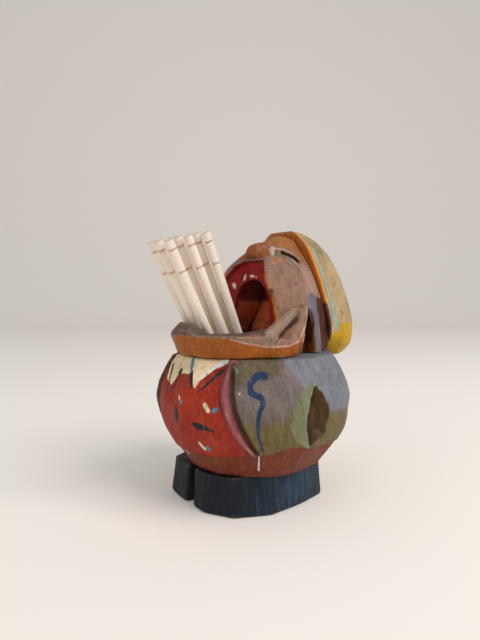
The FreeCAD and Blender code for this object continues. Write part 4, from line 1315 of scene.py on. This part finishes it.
HAT_YELLOW = [(17, 34), (19.4, 38.6), (20.9, 41), (23.5, 44.1), (34, 44.4), (34, 34)]
HAT_CLEARANCE = 0.35

# The hat's back: where the stripe stops, as a share of the place along Y, and where the yellow goes round
STRIPE_BACK = 0.55
YELLOW_BACK = 21
YELLOW_ACROSS = 24

# The brim's edge is amber above the ear and bare below it, down to its foot
EAR_TOP = 49.5
EDGE_FOOT = 41


def hat_field():
    """The hat, a rounded slab cut off at the brim's plane and hollowed over the torso's rim."""
    block = convex(both_sides(HAT), rounding=0.6)
    (shoulder_z, shoulder), (rim_z, rim) = TORSO_PROFILE[-2:]
    lean = (shoulder - rim) / (rim_z - shoulder_z)

    def field(p):
        value = soft_max(block(p), -behind_brim(p) / math.hypot(1, BRIM_LEAN), width=0.35)
        below = NECK - p[2]
        body = np.hypot(p[0], p[1]) - rim - HAT_CLEARANCE - lean * below
        return cut(value, np.maximum(body, -below), width=0.1)

    return field


def hat_patches(p):
    """Every painted patch of the hat, as distances in millimetres."""
    view = side_view(p)
    behind = behind_brim(p)
    low = p[2] - EAR_TOP
    back = np.where(np.abs(p[0]) < STRIPE_BACK * p[1], FAR_OFF, 0)
    round_back = (np.where(p[1] > YELLOW_BACK, YELLOW_ACROSS, view[0]), view[1])
    return {
        "edge": np.maximum(behind - 0.9, -low),
        "front": np.maximum(behind - 0.3, -low),
        "low_front": np.maximum(behind - 0.5, low),
        "low_edge": np.maximum.reduce([np.abs(behind - 0.8) - 0.16, low, EDGE_FOOT - p[2]]),
        "stripe": stroke(view, HAT_STRIPE, 0.15, 0.3) + back,
        "yellow": patch(round_back, HAT_YELLOW),
        "spots": strokes(
            view,
            ([(15.2, 65.1), (15.7, 64.9)], 0.35),
            ([(23.6, 47.2), (23.9, 46.8)], 0.3)) + back,
    }


# The hat's coats in order: patch, colour, then how soft and ragged the edge is, and the cover
HAT_COATS = (
    ("yellow", "yellow", 0.3, 0.5),
    ("stripe", "stripe", 0.1, 0.1),
    ("spots", "crown_shade", 0.2),
    ("edge", "amber", 0.2, 0.15),
    ("front", "brim", 0.15),
    ("low_front", "gouge", 0.3),
    ("low_edge", "pale", 0.12, 0.25, 0.7),
)


class HOLDER_OT_hat(bpy.types.Operator):
    """Carves and paints the hat"""
    bl_idname = "holder.hat"
    bl_label = "Hat"

    def execute(self, context):
        colours = context.scene.holder_head_paint
        piece, p = carve(
            "carved_hat", hat_field(), (-15.4, 10, 35.2), (15.4, 27.5, 68.9), salt=37,
            marked=lambda p: behind_brim(p) > 0.5)
        for name, distance in hat_patches(p).items():
            store(piece, name, distance)
        finish = Finish("hat_paint", colours.crown)
        finish.film(finish.noise(*HAT_CLOUD), start=0.42, full=0.66, cover=0.75, colour=colours.crown_shade)
        finish.coats(colours, HAT_COATS)
        dress(piece, "hat_block", finish.done(worn=0.6))
        return {"FINISHED"}


class HOLDER_OT_dowels(bpy.types.Operator):
    """Gives the pegs between the blocks a plain wood"""
    bl_idname = "holder.dowels"
    bl_label = "Dowels"

    def execute(self, context):
        finish = Finish("dowel_wood", context.scene.holder_wood.dowel)
        material = finish.done(worn=0)
        for name, node in frame["nodes"].items():
            if "dowel" in name:
                node.data.materials.clear()
                node.data.materials.append(material)
        return {"FINISHED"}


# A toothpick's rings: millimetres below its head, and where the dark of one, and of its end, fades
PICK_RINGS = (2.2, 7.6)
RING_EDGE = 0.42 * MM
RING_MIDDLE = 0.16 * MM
HEAD_EDGE = 0.06 * MM

# The share of a place along the toothpick that is taken off, which draws the noise out along it
GRAIN_SQUEEZE = 0.94


def birch(name, axis, head):
    """Turned birch with its grain along an axis and two darker rings below the head."""
    wood = bpy.context.scene.holder_wood
    finish = Finish(name, wood.birch)
    along = finish.node("ShaderNodeVectorMath", operation="DOT_PRODUCT")
    finish.join(along.inputs[0], finish.place)
    along.inputs[1].default_value = axis
    run = finish.node("ShaderNodeVectorMath", operation="SCALE")
    run.inputs[0].default_value = axis
    finish.join(run.inputs["Scale"], finish.math("MULTIPLY", along.outputs["Value"], -GRAIN_SQUEEZE))
    squeezed = finish.node("ShaderNodeVectorMath", operation="ADD")
    finish.join(squeezed.inputs[0], finish.place)
    finish.join(squeezed.inputs[1], run.outputs[0])
    fibres = finish.noise(1, 3400, 4, 0.6, squeezed.outputs[0])
    shade = finish.noise(1, 700, 2, 0.5, squeezed.outputs[0])
    below = finish.math("SUBTRACT", head, along.outputs["Value"])
    dark = wood.birch_dark
    finish.film(fibres, start=0.5, full=0.78, cover=0.4, colour=dark)
    finish.film(shade, start=0.5, full=0.75, cover=0.3, colour=dark)
    for ring in PICK_RINGS:
        near = finish.math("ABSOLUTE", finish.math("SUBTRACT", below, ring * MM))
        finish.film(near, start=RING_EDGE, full=RING_MIDDLE, cover=0.65, colour=dark)
    finish.film(below, start=HEAD_EDGE, full=0.0, cover=0.5, colour=dark)
    return finish.shaded(0.5, fibres, strength=0.35, depth=BIRCH_BUMP)


class HOLDER_OT_toothpicks(bpy.types.Operator):
    """Gives each toothpick its own birch, with the grain along it"""
    bl_idname = "holder.toothpicks"
    bl_label = "Toothpicks"

    def execute(self, context):
        for joint in frame["joints"]:
            number = joint["child"].split("_")[-1]
            node = frame["nodes"][f"toothpick_{number}"]
            axis = Vector(joint["axis"]).normalized()
            head = max(vertex.co.dot(axis) for vertex in node.data.vertices)
            node.data.materials.clear()
            node.data.materials.append(birch(f"birch_{number}", axis, head))
            node.data.shade_smooth()
        return {"FINISHED"}


# The photograph's height and the camera's focal length, both in pixels, and the sensor's height
PHOTO_HEIGHT = 640
FOCAL_PIXELS = 500
SENSOR_HEIGHT = 36

# The lamps' places across, away and up from the figure, and their sizes, in metres
KEY_PLACE = (0.42, -0.30, 0.52)
KEY_SIZE = 0.42
FILL_PLACE = (-0.50, -0.45, 0.30)
FILL_SIZE = 0.6
AIM_HEIGHT = 0.035
SKY_COLOUR = (0.93, 0.96, 1.0)
FLOOR_ROUGHNESS = 0.85

# The floor's sheet, in metres: its half width, its near edge, the bend behind the figure, its height
FLOOR_HALF_WIDTH = 1.6
FLOOR_NEAR = -1.2
FLOOR_BEND = 0.75
BEND_RADIUS = 0.35
BEND_STEPS = 12
BACKDROP_HEIGHT = 1.3


def area_lamp(name, place, power, size, aim):
    """A soft square lamp that shines at a point."""
    lamp = bpy.data.lights.new(name, "AREA")
    lamp.energy = power
    lamp.size = size
    thing = bpy.data.objects.new(name, lamp)
    thing.location = place
    thing.rotation_euler = (aim - place).to_track_quat("-Z", "Y").to_euler()
    bpy.context.scene.collection.objects.link(thing)


def backdrop(across, away):
    """A floor that sweeps up behind the figure in one sheet."""
    profile = [(FLOOR_NEAR, 0.0), (FLOOR_BEND, 0.0)]
    for step in range(1, BEND_STEPS + 1):
        turn = step / BEND_STEPS * math.pi / 2
        profile.append((FLOOR_BEND + BEND_RADIUS * math.sin(turn), BEND_RADIUS * (1 - math.cos(turn))))
    profile.append((FLOOR_BEND + BEND_RADIUS, BACKDROP_HEIGHT))
    sheet = bmesh.new()
    rows = []
    for run, up in profile:
        rows.append([sheet.verts.new(across * side + away * run + Vector((0, 0, up)))
                     for side in (-FLOOR_HALF_WIDTH, FLOOR_HALF_WIDTH)])
    for low, high in zip(rows, rows[1:]):
        sheet.faces.new((low[0], low[1], high[1], high[0]))
    mesh = bpy.data.meshes.new("floor")
    sheet.to_mesh(mesh)
    sheet.free()
    mesh.shade_smooth()
    floor = bpy.data.objects.new("floor", mesh)
    bpy.context.scene.collection.objects.link(floor)
    return floor


def floor_material(colour, paleness):
    """A plain matt floor that only the camera sees a little paler."""
    material = bpy.data.materials.new("floor")
    material.use_nodes = True
    tree = material.node_tree
    shader = tree.nodes["Principled BSDF"]
    shader.inputs["Base Color"].default_value = (*colour, 1)
    shader.inputs["Roughness"].default_value = FLOOR_ROUGHNESS
    shader.inputs["Emission Color"].default_value = (*colour, 1)
    rays = tree.nodes.new("ShaderNodeLightPath")
    glow = tree.nodes.new("ShaderNodeMath")
    glow.operation = "MULTIPLY"
    glow.inputs[1].default_value = paleness
    tree.links.new(rays.outputs["Is Camera Ray"], glow.inputs[0])
    tree.links.new(glow.outputs[0], shader.inputs["Emission Strength"])
    return material


class HOLDER_OT_stage(bpy.types.Operator):
    """Sets up the floor, the lamps, the sky and the camera"""
    bl_idname = "holder.stage"
    bl_label = "Stage"

    def execute(self, context):
        settings = context.scene.holder_stage
        across = Vector((math.cos(settings.azimuth), math.sin(settings.azimuth), 0))
        away = Vector((-math.sin(settings.azimuth), math.cos(settings.azimuth), 0))
        up = Vector((0, 0, 1))

        camera = bpy.data.cameras.new("camera")
        camera.sensor_fit = "VERTICAL"
        camera.sensor_height = SENSOR_HEIGHT
        camera.lens = FOCAL_PIXELS / PHOTO_HEIGHT * SENSOR_HEIGHT
        camera.clip_start = MM
        viewer = bpy.data.objects.new("camera", camera)
        viewer.location = up * settings.height - away * settings.distance - across * settings.aside
        forward = away * math.cos(settings.pitch) - up * math.sin(settings.pitch)
        viewer.rotation_euler = forward.to_track_quat("-Z", "Y").to_euler()
        context.scene.collection.objects.link(viewer)
        context.scene.camera = viewer

        for name, (right, far, high), power, size in (
                ("key", KEY_PLACE, settings.key_power, KEY_SIZE),
                ("fill", FILL_PLACE, settings.fill_power, FILL_SIZE)):
            place = across * right + away * far + up * high
            area_lamp(name, place, power, size, up * AIM_HEIGHT)

        floor = backdrop(across, away)
        floor.data.materials.append(floor_material(settings.floor, settings.paleness))

        world = bpy.data.worlds.new("sky")
        world.use_nodes = True
        context.scene.world = world
        sky = world.node_tree.nodes["Background"]
        sky.inputs["Color"].default_value = (*SKY_COLOUR, 1)
        sky.inputs["Strength"].default_value = settings.sky
        context.scene.view_settings.view_transform = "Standard"
        return {"FINISHED"}


class HOLDER_PT_sidebar(bpy.types.Panel):
    """Lists every piece's button and every setting"""
    bl_label = "Holder"
    bl_idname = "HOLDER_PT_sidebar"
    bl_space_type = "VIEW_3D"
    bl_region_type = "UI"
    bl_category = "Holder"

    def draw(self, context):
        for operator in OPERATORS:
            self.layout.operator(operator.bl_idname)
        for group in GROUPS:
            settings = getattr(context.scene, group)
            box = self.layout.box()
            for name in settings.bl_rna.properties.keys():
                if name not in ("rna_type", "name"):
                    box.prop(settings, name)


OPERATORS = (HOLDER_OT_stage, HOLDER_OT_boots, HOLDER_OT_torso, HOLDER_OT_head, HOLDER_OT_hat,
             HOLDER_OT_dowels, HOLDER_OT_toothpicks)
GROUPS = {
    "holder_carving": HolderCarving,
    "holder_body_paint": HolderBodyPaint,
    "holder_head_paint": HolderHeadPaint,
    "holder_wood": HolderWood,
    "holder_stage": HolderStage,
}


def register():
    """Adds the settings, the operators and the panel."""
    for group, kind in GROUPS.items():
        bpy.utils.register_class(kind)
        setattr(bpy.types.Scene, group, bpy.props.PointerProperty(type=kind))
    for operator in OPERATORS:
        bpy.utils.register_class(operator)
    bpy.utils.register_class(HOLDER_PT_sidebar)


def unregister():
    """Takes them away again, in the other order."""
    bpy.utils.unregister_class(HOLDER_PT_sidebar)
    for operator in reversed(OPERATORS):
        bpy.utils.unregister_class(operator)
    for group, kind in reversed(GROUPS.items()):
        delattr(bpy.types.Scene, group)
        bpy.utils.unregister_class(kind)


def main():
    """Registers the add-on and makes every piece."""
    register()
    bpy.ops.holder.stage()
    bpy.ops.holder.boots()
    bpy.ops.holder.torso()
    bpy.ops.holder.head()
    bpy.ops.holder.hat()
    bpy.ops.holder.dowels()
    bpy.ops.holder.toothpicks()


if __name__ == "__main__":
    main()
